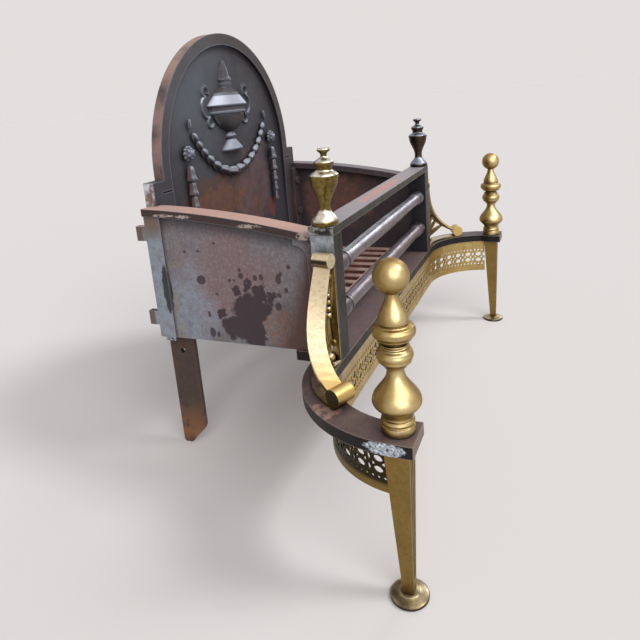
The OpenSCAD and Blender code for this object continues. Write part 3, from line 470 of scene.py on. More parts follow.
# %% [markdown]
# ## The iron frame and shelf
# The rail's top is rubbed to a light mauve grey, with a stripe of pink rust in its middle, and its front
# is dark olive with old blacking. The near stile shows a grey scale on its outer side; the far one is
# black with soot inside. The shelf is mauve-brown on top and black on its edge, where one wing has a
# crust of blue-white scale.

# %% Rail and stiles
rubbed_top = both(tops, 0.95)
rail_place = (-0.008, middle("top_rail")[Y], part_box("top_rail")[1].z)
rail_stripe = both(tops, stain(rail_place, (0.085, 0.0075, 0.05), ragged=0.5, size_mm=12), 0.75)
end_chips = both(near_side, clouds(6, 0.5), 0.9)
grey_scale = both(near_side, 0.85)
soot = both(near_side, 0.95)

# Pale on top and dark in front, which makes the rail's edge the clearest line of the frame
rail_iron = cast_iron("rubbed_rail_iron", "#2e2924", "#2a2621", "#22201c", "#8d8883", roughness=0.45,
                      extra=[(rubbed_top, "#a19aa0"), (rail_stripe, "#c8928a"), (end_chips, "#9a9894")])
# Near black with a light grey side, so that the square bar shows its corner
near_stile_iron = cast_iron("scaled_stile_iron", "#26211d", "#221e1a", "#1c1916", "#7d7d7c", roughness=0.5,
                            extra=[(grey_scale, "#8a9199"), (end_chips, "#a3a9ae")])
# Olive with soot on the fire's side: the same bar, seen from the hot side
far_stile_iron = cast_iron("sooty_stile_iron", "#413d35", "#37342f", "#2a2828", "#6f6b64", roughness=0.5,
                           extra=[(soot, "#2a292e")])
print("rail and stile finishes:", rail_iron.name, near_stile_iron.name, far_stile_iron.name)

# %% Shelf
shelf_edge = both(facing(UP, 0.6, 0.2), 0.95)
tip_end = both(facing(FRONT, 0.9, 0.97), along(Y, leg_y - 0.012, leg_y - 0.014))
crust_place = (-leg_x - 0.019, leg_y + 0.0065, 0.1450)
scale_crust = both(shelf_edge, stain(crust_place, (0.012, 0.0150, 0.0058), ragged=0.3, size_mm=5),
                   clouds(2.4, 0.7, soft=0.1))
scale_white = both(scale_crust, clouds(2.2, 0.3, soft=0.05, shift=(4, 1, 1)))
pink_scuff = both(stain((-0.290, -0.086, shelf_top), (0.011, 0.013, 0.02), ragged=0.8, size_mm=8),
                  clouds(5, 0.6), 0.85)
far_wing_grey = both(along(X, 0.18, 0.21), 0.75)

# Mauve-brown over a black edge, so that the plate looks thin and its top worn by use
shelf_iron = cast_iron("mauve_shelf_iron", "#7d6a65", "#76666a", "#5d4f4c", "#a08f88", bloom_mm=40,
                       roughness=0.5, wear=0.75, extra=[
                           (far_wing_grey, "#66636a"), (pink_scuff, "#c09a88"), (shelf_edge, "#11100e"),
                           (tip_end, "#746557"), (scale_crust, "#b4bfcc"), (scale_white, "#e4eaf0")])
print("shelf finish:", shelf_iron.name)

# %% [markdown]
# ## The cast fireback
# The fireback is one casting, dark slate with soot above and rusted where the fire lay against it. The
# arch's outer edge was never blacked and has gone pink-brown. The relief's upper faces carry a bluer,
# lighter painted highlight and its undersides painted shade, which is what lets the eye read it.

# %% Rust and bloom on the fireback
front_side = facing(FRONT, -0.3, 0.1)
low_rust = both(stain((-0.035, back_face, 0.262), (0.10, 0.05, 0.052), ragged=0.7, size_mm=40),
                front_side, clouds(30, 0.75, soft=0.2), 0.85)
orange_rust = both(stain((-0.04, back_face, 0.272), (0.055, 0.05, 0.026), ragged=0.8, size_mm=18),
                   front_side, clouds(5, 0.5, soft=0.2), 0.6)
pink_rust = both(stain((0.055, back_face, 0.285), (0.05, 0.05, 0.055), ragged=0.7, size_mm=30),
                 front_side, clouds(16, 0.7, soft=0.2), 0.6)
red_rust = both(stain((0.098, back_face, 0.238), (0.010, 0.05, 0.016), ragged=0.9, size_mm=8),
                front_side, 0.7)
blue_upper = both(stain((-0.078, back_face, 0.415), (0.07, 0.05, 0.085), ragged=0.5, size_mm=60, soft=0.5),
                  facing(FRONT, 0.6, 0.9), 0.6)
# A brown bloom on the front of the rim
rim_brown = both(facing(FRONT, 0.7, 0.9), along(Y, back_face + 0.0088, back_face + 0.0083),
                 clouds(28, 0.6, soft=0.3, shift=(1, 2, 7)), along(X, -0.17, -0.08), 0.8)
print("the fireback's face is at y =", round(back_face, 4))

# %% The arch's edge and its inner wall
over_shoulder = along(Z, 0.24, 0.28)


def arch_edge(tree):
    outward = add(tree, "ShaderNodeVectorMath", {0: place_of(tree), 1: (0, panel_face, 0.33)},
                  operation="SUBTRACT")
    geometry = add(tree, "ShaderNodeNewGeometry")
    away = add(tree, "ShaderNodeVectorMath", {0: outward.outputs[0], 1: geometry.outputs["Normal"]},
               operation="DOT_PRODUCT")
    outer = add(tree, "ShaderNodeMapRange", {
        "Value": away.outputs["Value"], "From Min": 0.01, "From Max": 0.03}).outputs[0]
    return both(facing(FRONT, 0.4, 0.1), outer, over_shoulder, clouds(30, 0.75, soft=0.15), 0.9)(tree)


arch_pale = both(arch_edge, along(Z, 0.42, 0.46), 0.7)
shoulder_chips = both(near_side, along(X, -0.174, -0.176), clouds(9, 0.6), 0.95)
# Painted shade on the rim's inner wall and in the corner below it
inner_wall_shade = both(facing(FRONT, 0.6, 0.3), along(Y, panel_face, panel_face - 0.0005),
                  along(Y, back_face + 0.0075, back_face + 0.0085), along(X, 0, 0.02), over_shoulder, 0.85)
# Painted shade in the corner between the sunk panel and the rim, on the far side
panel_corner_shade = both(along(X, 0.088, 0.126), along(Y, panel_face - 0.004, panel_face),
                 along(Z, 0.26, 0.33), 0.6)
print("sunk panel at y =", round(panel_face, 4))

# %% The rubbed relief, and the fireback's finish
lid_top = shelf_top + 256.2 * mm  # where the slope of the urn's lid ends
# The part of the sunk panel that carries the relief, and whatever stands out from it
relief_field = both(stain((0, back_face, 0.335), (0.132, 0.6, 0.125), ragged=0),
                    along(Y, panel_face - 0.0006, panel_face - 0.0015))
# Upward faces of the relief carry a painted highlight, downward faces painted shade
relief_top_highlight = both(relief_field, facing((0, -0.45, 0.89), 0.42, 0.80),
                   along(Z, lid_top + 0.004, lid_top), 0.85)
relief_underside_shade = both(relief_field, facing((0, -0.3, -0.95), 0.30, 0.75), 0.85)
# The slope of the urn's lid, a painted highlight and the brightest part of the relief
lid_highlight = both(relief_field, along(Z, lid_top - 0.0130, lid_top - 0.0122),
                along(Z, lid_top + 0.0004, lid_top - 0.0004), facing(UP, 0.2, 0.4), 0.9)
# The ring and the spire over the lid, with a painted highlight on the side towards the light
spire_light = both(relief_field, along(Z, lid_top + 0.018, lid_top + 0.019),
                   facing((0.55, -0.65, 0.5), 0.70, 0.92), 0.8)

# Dark slate below a lighter relief: the ornament reads by the painted highlights on its tops and the
# painted shade under them, not by its own colour
fireback_iron = cast_iron(
    "sooty_cast_iron", "#49494e", "#434146", "#363437", "#7f8494", wear=0.65, edge_mm=2.0, extra=[
        (blue_upper, "#5f656e"), (low_rust, "#60463c"), (pink_rust, "#755a5b"), (orange_rust, "#805640"),
        (red_rust, "#824036"), (rim_brown, "#4b413a"), (panel_corner_shade, "#29282b"), (inner_wall_shade, "#252427"),
        (relief_top_highlight, "#9aa0ad"), (lid_highlight, "#c2c6d4"), (spire_light, "#9aa0ae"),
        (relief_underside_shade, "#1f1e22"), (arch_edge, "#92766c"), (arch_pale, "#b59a8c"),
        (shoulder_chips, "#cdd4df")])
print("fireback finish:", fireback_iron.name)

# %% [markdown]
# ## Brass
# The legs, finials, apron and brackets are cast and sheet brass, once polished. Polished brass is a
# yellow metal; the tarnish on it is a thin brown skin that stays in the hollows and rubs off where it is
# handled. So the shader stays fully metallic, and tarnish only darkens its colour and roughens it. Some
# layers paint light into the colour: highlights and reflections on faces turned to the light, and shade
# on faces turned away from it.

# %% Brass, from bright to blackened
def brass(name, bright, tarnish, dark, tarnish_cover=0.5, roughness=0.24, hollow_mm=9, hollow=0.9,
          brushed=0.0, cloud_mm=22, spots=0.4, extra=()):
    """Brass with clouds of tarnish, and hollows painted dark as tarnish and painted shade."""
    material, tree = new_finish(name)
    colour = layered(tree, bright, [
        (clouds(cloud_mm, tarnish_cover, soft=0.22), tarnish),
        (both(clouds(3, 0.25, soft=0.08, shift=(4, 4, 4)), spots), dark),
        *extra,
        # Dark hollows: tarnish, and painted shade
        (recesses(hollow_mm, hollow), dark)])
    rub = clouds(12, 0.5, soft=0.3, shift=(2, 9, 1))(tree)
    rough = add(tree, "ShaderNodeMapRange", {
        "Value": rub, "To Min": roughness - 0.05, "To Max": roughness + 0.13}).outputs[0]
    fine = add(tree, "ShaderNodeTexNoise", {"Vector": place_of(tree), "Scale": 1000 / 6, "Detail": 5.0})
    finished(tree, colour, rough, 1.0, [(fine.outputs["Fac"], 0.25, 0.12 + brushed)])
    return material


print("brass is ready")

# %% Tarnish and wear on the brass
near_wing = along(X, -0.195, -0.215)
# The near wing of the apron is near black above its lower band, which is brown brass
near_wing_black = both(near_wing, along(Z, 0.094, 0.098), 0.93)
brown_wing = both(near_wing, 0.8)
pink_mottle = both(clouds(14, 0.45, soft=0.2, shift=(5, 5, 1)), 0.6)
# The two rolls of the bracket's strap: painted shade on their ends, where the open rolls are dark inside,
# and on their lower halves
rolls = either(along(Z, 0.243, 0.246), along(Z, 0.171, 0.168))
roll_axis = (-0.91, 0.41, 0)
roll_end_shade = both(facing(roll_axis, 0.9, 0.96), rolls, 0.95)
roll_underside_shade = both(rolls, facing(DOWN, -0.1, 0.35), 0.85)
golden_foot = both(along(Z, 0.185, 0.166), 0.8)
# Upward cones: a painted reflection of a bright sky, silvery white
upward_reflection = both(facing(UP, 0.22, 0.5), clouds(7, 0.85, soft=0.15), 0.95)
# The side towards the fire: painted shade
back_side_shade = both(facing((-0.2, 0.98, 0), 0.15, 0.8), clouds(10, 0.85, soft=0.3), 0.85)
# The side away from the door: painted shade
far_side_shade = both(facing((0.96, -0.29, 0), 0.0, 0.7), clouds(12, 0.85, soft=0.3), 0.5)
# The side towards the room: a broad painted highlight
room_side_highlight = both(facing((-0.80, -0.52, 0.30), 0.60, 1.0), clouds(16, 0.85, soft=0.3), 0.85)
# Downward faces: painted shade
underside_shade = both(facing(DOWN, 0.25, 0.9), 0.6)
worn_plating = both(clouds(7, 0.32, soft=0.1, shift=(1, 7, 3)), 0.6)
# The lowest 3 mm of the foot discs, painted dark brown where they meet the floor
disc_edge = both(along(Z, 0.0036, 0.0024), 0.9)
print("masks for brass are ready")

# %% The brass finishes
# A pale painted highlight on the room's side, and brown painted shade behind, at the far side and below,
# so that the finials look handled and old
polished_brass = brass("aged_polished_brass", "#b09254", "#8d703a", "#4a3a22", roughness=0.33,
                       spots=0.2, extra=[
                           (back_side_shade, "#5e4926"), (far_side_shade, "#74592f"), (underside_shade, "#6b552e"),
                           (room_side_highlight, "#efdca8")])
# An even, darker gold: legs are dusted, not polished
leg_brass = brass("leg_brass", "#947a45", "#836a3b", "#43341d", roughness=0.36, spots=0.2)
# Almost white, brushed brass with roll ends and lower halves in painted shade, which draw the scroll for
# the eye
strap_brass = brass("brushed_pale_brass", "#e6dab8", "#dbcba4", "#8b6f3c", roughness=0.42, hollow=0.6,
                    brushed=0.2, extra=[
                        (pink_mottle, "#e6cfb4"), (golden_foot, "#d3ae5c"), (roll_underside_shade, "#5c401e"),
                        (roll_end_shade, "#241b12")])
# Straw gold in front, and near black over brown on the near wing
apron_brass = brass("apron_sheet_brass", "#c8af74", "#a98e55", "#4a3c26", roughness=0.36, hollow=0.5,
                    extra=[(brown_wing, "#75602f"), (near_wing_black, "#2a241a")])
# Gold with hollows painted dark, as tarnish and painted shade, and a painted reflection on upward faces,
# so that leaves and beads stand apart
bracket_brass = brass("bracket_cast_brass", "#b89c5e", "#7c6336", "#2c2418", roughness=0.3, hollow_mm=6,
                      hollow=1.0, extra=[(upward_reflection, "#c8bfaa")])
# Painted reflections on the upward cones over brown brass, and painted shade on the back and far sides
urn_brass = brass("urn_brass_painted_reflection", "#8b7741", "#5f4e28", "#2b2419", tarnish_cover=0.6,
                  roughness=0.25, cloud_mm=14, spots=0.6, extra=[
                      (back_side_shade, "#4a3c1f"), (far_side_shade, "#4f3f20"), (upward_reflection, "#efe8da")])
# Blackened, with a faint blue-grey painted reflection on its upward cones, so that the far urn sits back
black_brass = brass("blackened_brass", "#54463a", "#332d2a", "#1b1816", tarnish_cover=0.6, roughness=0.34,
                    extra=[(upward_reflection, "#8f93a6")])
# Silvered, mottled and dark at the lowest edge, so that the discs look set on the floor
disc_brass = brass("silvered_foot_brass", "#cbbd9c", "#93835c", "#3a3226", roughness=0.28,
                   extra=[(worn_plating, "#6a5c48"), (disc_edge, "#33261c")])
print("brass finishes:", polished_brass.name, strap_brass.name, urn_brass.name, disc_brass.name)

# %% [markdown]
# ## Meshes
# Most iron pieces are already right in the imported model, but their edges are knife sharp. A copy of the
# node's mesh gets its flat faces joined and a small bevel, and stands for the node. Turned pieces are
# made afresh, by spinning an outline.

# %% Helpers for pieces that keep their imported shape
def piece(name, mesh, material, body="grate", stands_for=()):
    """Links a mesh as a piece of the grate, gives it its finish and its body."""
    thing = bpy.data.objects.new(name, mesh)
    SCENE.collection.objects.link(thing)
    mesh.materials.clear()
    mesh.materials.append(material)
    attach(thing, body)
    if stands_for:
        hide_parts(*stands_for)
    return thing


def smooth_by_angle(mesh, degrees):
    mesh.shade_smooth()
    mesh.set_sharp_from_angle(angle=math.radians(degrees))


sharp_from = 32  # degrees between two faces from which their edge counts as an edge


def dressed(node, material, bevel_mm, body="grate", join_faces=True, reshape=None):
    """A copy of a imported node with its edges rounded, as casting and wear leave them."""
    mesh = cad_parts[node].data.copy()
    work = bmesh.new()
    work.from_mesh(mesh)
    bmesh.ops.remove_doubles(work, verts=work.verts, dist=0.01 * mm)
    if reshape:
        reshape(work)
    if join_faces:
        bmesh.ops.dissolve_limit(work, angle_limit=math.radians(0.6), verts=work.verts, edges=work.edges)
    work.to_mesh(mesh)
    work.free()
    mesh.name = node + "_worn"
    thing = piece(node + "_worn", mesh, material, body, [node])
    smooth_by_angle(mesh, sharp_from)
    if bevel_mm:
        bevel = thing.modifiers.new("rounded_edges", "BEVEL")
        bevel.width = bevel_mm * mm
        bevel.segments = 2
        bevel.limit_method = "ANGLE"
        bevel.angle_limit = math.radians(sharp_from)
        even = thing.modifiers.new("even_faces", "WEIGHTED_NORMAL")
        even.keep_sharp = True
    return thing


print("flat pieces can be dressed")

# %% A helper that spins pieces
def closed_mesh(name, work, degrees):
    """A mesh of the work, with its faces turned outwards and smooth up to an angle."""
    bmesh.ops.recalc_face_normals(work, faces=work.faces)
    mesh = bpy.data.meshes.new(name)
    work.to_mesh(mesh)
    work.free()
    smooth_by_angle(mesh, degrees)
    return mesh


def turned(name, stations, at, material, stands_for, steps=8, lean=(0, 0), lying=False):
    """Spins stations [radius, height] in mm into a smooth turned piece; `at` is its foot or left end."""
    around = 72
    outline = []
    for (r0, z0), (r1, z1) in zip(stations, stations[1:]):
        count = 1 if abs(r0 - r1) < 0.01 else steps
        for i in range(count):
            t = i / count
            outline.append((r0 + (r1 - r0) * (1 - math.cos(math.pi * t)) / 2, z0 + (z1 - z0) * t))
    outline.append(stations[-1])
    work = bmesh.new()
    rings = []
    for r, z in outline:
        ring = []
        for k in range(around):
            across = r * math.cos(2 * math.pi * k / around)
            beside = r * math.sin(2 * math.pi * k / around)
            offset = Vector((across + lean[0] * z, beside + lean[1] * z, z))
            if lying:
                offset = Vector((z, across, beside))
            ring.append(work.verts.new(Vector(at) + offset * mm))
        rings.append(ring)
    for lower, upper in zip(rings, rings[1:]):
        for k in range(around):
            work.faces.new((lower[k], lower[(k + 1) % around], upper[(k + 1) % around], upper[k]))
    work.faces.new(list(reversed(rings[0])))
    work.faces.new(rings[-1])
    return piece(name, closed_mesh(name, work, 50), material, "grate", stands_for)


print("round pieces can be spun")

# %% [markdown]
# ## Finials
# The ball finials over the legs and the urn finials on the rail are turned brass. Their outlines are read
# off the photograph as stations of radius and height, and the outline swells between stations as a
# turner's tool leaves it. A screw modifier on a drawn curve would do as well; stations are easier to
# read and to change.

# %% Ball finials and urn finials
ball_stations = [
    (12.4, 0), (13, 0.8), (13, 6.6), (12, 7.4), (12, 8), (12.9, 9.6), (12.4, 11.6), (10.9, 12.8),
    (18.7, 25.6), (6.5, 49), (6.5, 51.3), (8.4, 52.8), (12.6, 58.2), (13.7, 62.2), (13.1, 65),
    (10.6, 67.8), (11.3, 69), (9.9, 70.6), (8.2, 71.2), (8.4, 72), (13.2, 75),
    (15.9, 79), (16.1, 81.4), (15, 84), (12.2, 85.8), (11, 86.4), (11.4, 87.4)]
ball_r, ball_z, neck_r = 13.3, 121.0, 4.7


def ball_outline():
    """The stations of the ball's own arc, from the vase's neck up to the top."""
    start = math.asin(neck_r / ball_r)
    arc = [(ball_r * math.sin(start + (math.pi - start) * k / 24),
            ball_z - ball_r * math.cos(start + (math.pi - start) * k / 24)) for k in range(24)]
    return arc + [(0.2, ball_z + ball_r)]


urn_stations = [
    (12.2, 0), (12.8, 1), (12.8, 2.6), (5.3, 15.6), (5.2, 18), (12.8, 42), (13.4, 44), (13.4, 45.6),
    (7.4, 51), (7.4, 52.4), (9.3, 57.2), (2.9, 63), (2.9, 64.4), (6, 68.4), (5.4, 70), (0.5, 70.5)]

near_lean = (0.02, -0.05)  # the near urn stands a little crooked on its stud

for side, name in ((-1, "left"), (1, "right")):
    foot = (side * leg_x, leg_y, shelf_top)
    turned("ball_vase_" + name, ball_stations + [(neck_r, ball_z - math.sqrt(ball_r ** 2 - neck_r ** 2))],
           foot, polished_brass, ["ball_finial_" + name])
    turned("ball_" + name, ball_outline(), foot, polished_brass, [], steps=1)
    urn_foot = (*middle("urn_finial_" + name)[:2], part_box("urn_finial_" + name)[0].z)
    turned("urn_" + name, urn_stations, urn_foot, urn_brass if side < 0 else black_brass,
           ["urn_finial_" + name], lean=near_lean if side < 0 else (0, 0))
print("finials stand", round((ball_z + ball_r), 1), "mm over the shelf")

# %% [markdown]
# ## Ironwork
# The plates, stiles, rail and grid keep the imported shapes, with their edges rounded by 0.8 to 1.2 mm.
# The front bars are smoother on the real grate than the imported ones: a bulb, a groove and a bead at each
# end, and a slight swell between. They are spun from stations as the finials are; subdividing the packed
# bar would blur its groove. The grid's faces aren't joined, because its many slots would leave bad
# faces.

# %% Frame, cheeks and rear legs
for side in ("left", "right"):
    near = side == "left"
    dressed("stile_" + side, near_stile_iron if near else far_stile_iron, 1.0)
    dressed("cheek_" + side, near_cheek_iron if near else far_cheek_iron, 1.0)
    dressed("rear_leg_" + side, rear_leg_iron, 1.2)
dressed("top_rail", rail_iron, 1.2)
print("frame, cheeks and rear legs are dressed")

# %% Round bars
# From the stile's face inward: a bulb, a groove, a bead and the swelling bar, in mm
bar_end = [(8.2, 0), (9.8, 5), (10.1, 13), (9.7, 21), (8.9, 24.2), (7.0, 25.2), (7.0, 27.2), (9.2, 28.6),
           (9.0, 31.5), (7.8, 36)]
bar_middle_r, tenon_r = 8.7, 6.5
for level in ("lower", "upper"):
    bar_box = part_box("front_bar_" + level)
    near_inner = (-stile_inner - bar_box[0].x) / mm
    bar_length = (bar_box[1].x - bar_box[0].x) / mm
    half_bar = [(tenon_r, 0), (tenon_r, near_inner)] + [(r, near_inner + h) for r, h in bar_end]
    other_half = [(r, bar_length - h) for r, h in reversed(half_bar)]
    bar_stations = half_bar + [(bar_middle_r, bar_length / 2)] + other_half
    bar_start = (bar_box[0].x, *middle("front_bar_" + level)[1:])
    turned("round_bar_" + level, bar_stations, bar_start, bar_iron,
           ["front_bar_" + level], lying=True)
print("bars are", round(bar_length, 1), "mm long with their tenons")

# %% Shelf, grid and ledge
dressed("shelf_plate", shelf_iron, 1.0)
dressed("bottom_grid", grid_iron, 0.8, body="grid", join_faces=False)
dressed("grid_ledge", fireback_iron, 1.0)
print("shelf, grid and ledge are dressed")

# %% [markdown]
# ## The relief
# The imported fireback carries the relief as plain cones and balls. On the real casting the swag is a
# string of fluted husks that narrows to a long bud at each end, and each drop is a berry cluster over
# hanging bellflowers. The fireback's mesh keeps its urn; the plain swag and drops are cut away to the
# panel, and fluted ones take their places. Each is a small spun outline whose radius swings with the
# angle. Sculpting them by hand would be freer, but one outline serves all sixteen husks. The urn's lid
# and foot are half ovals stacked in rows, which are cheap and give the mouldings their crisp steps.

# %% Fireback without its plain swag and drops
def open_edges(work):
    return [edge for edge in work.edges if len(edge.link_faces) == 1]


urn_under, urn_waist = 183.5 * mm, 212 * mm  # over the shelf: under the urn's foot, and over it
urn_foot_reach, urn_reach = 30 * mm, 64 * mm  # to each side
field_low, field_high = 70 * mm, 250 * mm  # over the shelf: the foot and the top of the cleared field
field_reach, arch_spring = 128 * mm, 205 * mm  # its half width, and where its arch springs


def clear_swag(work):
    """Cuts off whatever stands out of the sunk panel, apart from the urn, and closes the panel."""
    doomed = []
    for face in work.faces:
        centre = face.calc_center_median()
        urn_half = urn_reach if centre.z > shelf_top + urn_waist else urn_foot_reach
        on_urn = abs(centre.x) < urn_half and centre.z > shelf_top + urn_under
        in_height = shelf_top + field_low < centre.z < shelf_top + field_high
        stands_out = back_face - 1 * mm < centre.y < panel_face - 0.001 * mm
        if stands_out and in_height and not on_urn and abs(centre.x) < field_reach:
            radius = max(math.hypot(v.co.x, max(v.co.z - shelf_top - arch_spring, 0)) for v in face.verts)
            if radius < field_reach:
                doomed.append(face)
    bmesh.ops.delete(work, geom=doomed, context="FACES")
    bmesh.ops.holes_fill(work, edges=open_edges(work), sides=0)
    bmesh.ops.triangle_fill(work, use_beauty=True, use_dissolve=False, edges=open_edges(work))
    print("relief faces cut away:", len(doomed), "edges left open:", len(open_edges(work)))


dressed("fireback", fireback_iron, 0.6, reshape=clear_swag)

# %% Helpers for small cast ornament
def skin(work, rings):
    """Joins rings of vertices with faces, from one end to the other, and closes both ends."""
    around = len(rings[0])
    for lower, upper in zip(rings, rings[1:]):
        for k in range(around):
            work.faces.new((lower[k], upper[k], upper[(k + 1) % around], lower[(k + 1) % around]))
    work.faces.new(rings[0])
    work.faces.new(list(reversed(rings[-1])))


def strung(name, outline, spots, flutes=0, around=24):
    """Small spun bodies [x, y, z, turn, wide, deep, long] in mm, all of one outline, as one piece."""
    work = bmesh.new()
    for x, y, z, turn, wide, deep, long in spots:
        rings = []
        for r, h in outline:
            ring = []
            for k in range(around):
                angle = 2 * math.pi * k / around
                swing = r * (1 + 0.1 * math.cos(flutes * angle)) if flutes else r
                across, out, up = swing * wide * math.cos(angle), swing * deep * math.sin(angle), h * long
                ring.append(work.verts.new(((x + across * math.cos(turn) + up * math.sin(turn)) * mm,
                                            (y - out) * mm,
                                            (z - across * math.sin(turn) + up * math.cos(turn)) * mm)))
            rings.append(ring)
        skin(work, rings)
    return piece(name, closed_mesh(name, work, 48), fireback_iron)


def half_oval(name, rows, z):
    """Rows [half width, height, depth] in mm of half ovals that stand on the sunk panel."""
    around = 40
    work = bmesh.new()
    rings = []
    for wide, up, deep in rows:
        rings.append([work.verts.new((wide * math.cos(math.pi * k / around) * mm,
                                      panel_face + 0.5 * mm - deep * mm * math.sin(math.pi * k / around),
                                      (z + up) * mm)) for k in range(around + 1)])
    skin(work, rings)
    return piece(name, closed_mesh(name, work, 24), fireback_iron)


print("ornament helpers are ready")

# %% The relief urn's lid and foot
lid_rows = [
    (46.9, 0, 14.5), (47.7, 1.0, 15.0), (47.7, 2.0, 15.0), (47.0, 2.6, 14.8), (32.0, 13.6, 11.4),
    (31.0, 13.9, 10.4), (30.4, 15.4, 10.2), (27.0, 17.4, 9.8), (21, 19.2, 9.2), (15.0, 21.2, 8.6),
    (12.0, 23.2, 8.2), (11.6, 25.6, 8.2), (13.6, 26.2, 8.8), (13.6, 28.8, 8.8),
    (10.8, 29.4, 7.8), (10.8, 31.6, 7.8), (13.6, 32.4, 8.6), (13.4, 34.6, 8.4),
    (9.4, 36.6, 7.0), (7.4, 46, 5.8), (1.4, 57, 2.8)]
foot_rows = [
    (22.6, 0, 11.0), (24.0, 1.0, 12.0), (24.0, 2.6, 12.2), (22.8, 3.8, 11.6), (18.4, 7.2, 10.2),
    (12.8, 11.6, 8.6), (9.6, 14.4, 7.4), (6.8, 15.2, 5.6), (6.8, 16.4, 5.6), (11.2, 17.3, 7.4),
    (11.6, 19.4, 7.6), (9.8, 21.4, 6.8)]
lid_z, foot_z = 242.4, 185.2  # mm over the shelf
half_oval("urn_lid", lid_rows, shelf_top / mm + lid_z)
half_oval("urn_foot", foot_rows, shelf_top / mm + foot_z)
print("the lid's spire ends", round(lid_z + lid_rows[-1][1], 1), "mm over the shelf")

# %% The swag of husks
husk_outline = [(0.22, 0), (0.5, 0.06), (0.78, 0.22), (0.97, 0.45), (1.0, 0.62), (0.9, 0.76), (0.62, 0.8),
                (0.5, 0.9), (0.3, 1.02), (0.05, 1.06)]
swag_x, swag_rise, swag_low = 99, 75, shelf_top / mm + 158
swag_y = panel_face / mm - 3.6


def swag_at(t):
    return swag_x * t, swag_low + swag_rise * (0.8 * t ** 2 + 0.2 * t ** 6)


husk_spots = []
for side in (-1, 1):
    t = 0.0
    while t < 0.9:
        size = 1 - 0.36 * t
        length = 23 - 12 * t
        x, z = swag_at(t)
        x_next, z_next = swag_at(t + 0.01)
        t += 0.01 * length * 0.88 / math.hypot(x_next - x, z_next - z)
        x_end, z_end = swag_at(t)
        turn = math.atan2(side * (x - x_end), z - z_end)
        husk_spots.append((side * x_end, swag_y, z_end, turn, 6.4 * size, 5.6 * size, length))
    x, z = swag_at(0.93)
    husk_spots.append((side * x, swag_y, z + 12, math.pi - side * 0.12, 2.3, 2.6, 15))
strung("swag_husks", husk_outline, husk_spots, flutes=5)
print("husks:", len(husk_spots))

# %% The two drops
bell_outline = [(0.1, -0.93), (0.6, -0.92), (0.97, -0.95), (1.04, -0.9), (0.84, -0.74), (0.72, -0.5),
                (0.7, -0.3), (0.6, -0.14), (0.36, -0.03), (0.1, 0)]
berry_outline = [(math.sin(math.pi * k / 8) + 0.02, (1 - math.cos(math.pi * k / 8)) / 2)
                 for k in range(9)]
drop_x, drop_y = 104.5, panel_face / mm - 5.5
bell_spots = []
berry_spots = []
for side in (-1, 1):
    for k in range(5):
        bell_spots.append((side * drop_x, drop_y, shelf_top / mm + 178.5 - 18.2 * k + 0.5 * k ** 2, 0,
                           6.0 - 0.6 * k, 6.4 - 0.5 * k, 18.0 - 0.9 * k))
    berry_spots.append((side * drop_x, drop_y, shelf_top / mm + 186, 0, 7.0, 7.0, 13))
    for tilt, count in ((0, 1), (42, 6), (82, 10)):
        for k in range(count):
            spoke = 2 * math.pi * (k + tilt / 90) / count
            reach = 7.0 * math.sin(math.radians(tilt))
            berry_spots.append((side * drop_x + reach * math.cos(spoke),
                                drop_y + 1.5 - 6.6 * math.cos(math.radians(tilt)),
                                shelf_top / mm + 192.5 - 2.6 + reach * math.sin(spoke), 0, 2.3, 2.3, 5.2))
strung("drop_bells", bell_outline, bell_spots, flutes=5)
strung("drop_berries", berry_outline, berry_spots, around=14)
print("bells and berries:", len(bell_spots), len(berry_spots))

# %% [markdown]
# ## Brasswork
# The legs and brackets are cast, the foot discs spun, the apron is pierced sheet and the straps are
# rolled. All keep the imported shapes, because their outlines are already fine. The apron and the openwork
# keep all their faces, since joined faces with many holes in them come out badly. The bolts, nuts,
# screws and studs hardly show, so they only get a finish.

# %% Brass pieces
for side in ("left", "right"):
    dressed("front_leg_" + side, leg_brass, 0.6)
    dressed("foot_disc_" + side, disc_brass, 0)
    dressed("bracket_strap_" + side, strap_brass, 0.4)
    dressed("bracket_openwork_" + side, bracket_brass, 0, join_faces=False)
dressed("pierced_apron", apron_brass, 0, join_faces=False)
print("brass pieces are dressed")

# %% Fixings
iron_fixings = ("cheek_bolts", "cheek_nuts", "rear_leg_bolts", "rear_leg_nuts", "stile_screws")
brass_fixings = ("apron_screws", "bracket_screws", "leg_studs", "rail_studs")
for node in iron_fixings + brass_fixings:
    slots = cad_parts[node].data.materials
    slots.clear()
    slots.append(fixing_iron if node in iron_fixings else leg_brass)
print("fixings with a finish:", len(iron_fixings + brass_fixings))

# %% [markdown]
# ## Floor and light
# The photograph has a plain pale ground. A sun in front, about 50 degrees up and with a small spread,
# casts the main shadows towards the back. A broad one overhead softens them, one beside the camera
# shines on the finials, and a low one from the far side draws the streak of light on the bars. Lamps
# with a size would fall off with distance; suns light the floor evenly. The world takes up what the
# suns leave, so that the open floor comes out as its own colour and meets the backdrop without a line.

# %% Floor
ground_colour = srgb("#e3dfde")

floor_mesh = bpy.data.meshes.new("floor")
floor_mesh.from_pydata([(-60, -60, 0), (60, -60, 0), (60, 60, 0), (-60, 60, 0)], [], [(0, 1, 2, 3)])
floor = bpy.data.objects.new("floor", floor_mesh)
SCENE.collection.objects.link(floor)
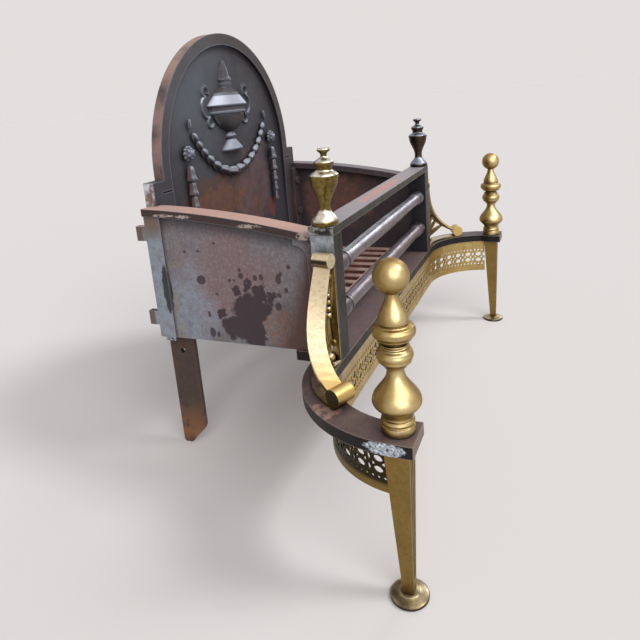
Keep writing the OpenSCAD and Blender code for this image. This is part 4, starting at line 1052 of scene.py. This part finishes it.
# Matt and pale: it takes soft shadows and shows nothing else
floor_material, tree = new_finish("pale_floor")
plaster = add(tree, "ShaderNodeBsdfDiffuse", {"Color": ground_colour})
add(tree, "ShaderNodeOutputMaterial", {"Surface": plaster.outputs[0]})
floor_mesh.materials.append(floor_material)
print("floor is", floor_mesh.name)

# %% Suns and world
suns = [  # name, compass angle and height in degrees, strength, spread in degrees
    ("overhead", 266, 64, 0.45, 60),
    ("front", 282, 49, 1.05, 15),
    ("beside_camera", 219, 32, 1.90, 56),
    ("far_window", 345, 24, 0.30, 18)]
floor_light = 0
for name, compass, height, strength, spread in suns:
    sun = bpy.data.objects.new(name, bpy.data.lights.new(name, "SUN"))
    sun.data.energy = strength
    sun.data.angle = math.radians(spread)
    towards = Vector((math.cos(math.radians(compass)) * math.cos(math.radians(height)),
                      math.sin(math.radians(compass)) * math.cos(math.radians(height)),
                      math.sin(math.radians(height))))
    sun.rotation_euler = towards.to_track_quat("Z", "Y").to_euler()
    SCENE.collection.objects.link(sun)
    floor_light += strength * towards.z / math.pi
ambient_level = 1 - floor_light

world = bpy.data.worlds.new("studio")
SCENE.world = world
world.use_nodes = True
tree = world.node_tree
tree.nodes.clear()
path = add(tree, "ShaderNodeLightPath")
seen = add(tree, "ShaderNodeMath", {0: path.outputs["Is Camera Ray"], 1: path.outputs["Is Glossy Ray"]},
           operation="MAXIMUM")
seen = add(tree, "ShaderNodeMath", {0: seen.outputs[0], 1: path.outputs["Is Transmission Ray"]},
           operation="MAXIMUM")
backdrop = add(tree, "ShaderNodeBackground", {"Color": ground_colour, "Strength": 1.0})
ambient = add(tree, "ShaderNodeBackground", {"Color": (1, 1, 1, 1), "Strength": ambient_level})
chosen = add(tree, "ShaderNodeMixShader", {
    0: seen.outputs[0], 1: ambient.outputs[0], 2: backdrop.outputs[0]})
add(tree, "ShaderNodeOutputWorld", {"Surface": chosen.outputs[0]})
SCENE.view_settings.view_transform = "Standard"
print("light on the floor from suns", round(floor_light, 3), "and world", round(ambient_level, 3))
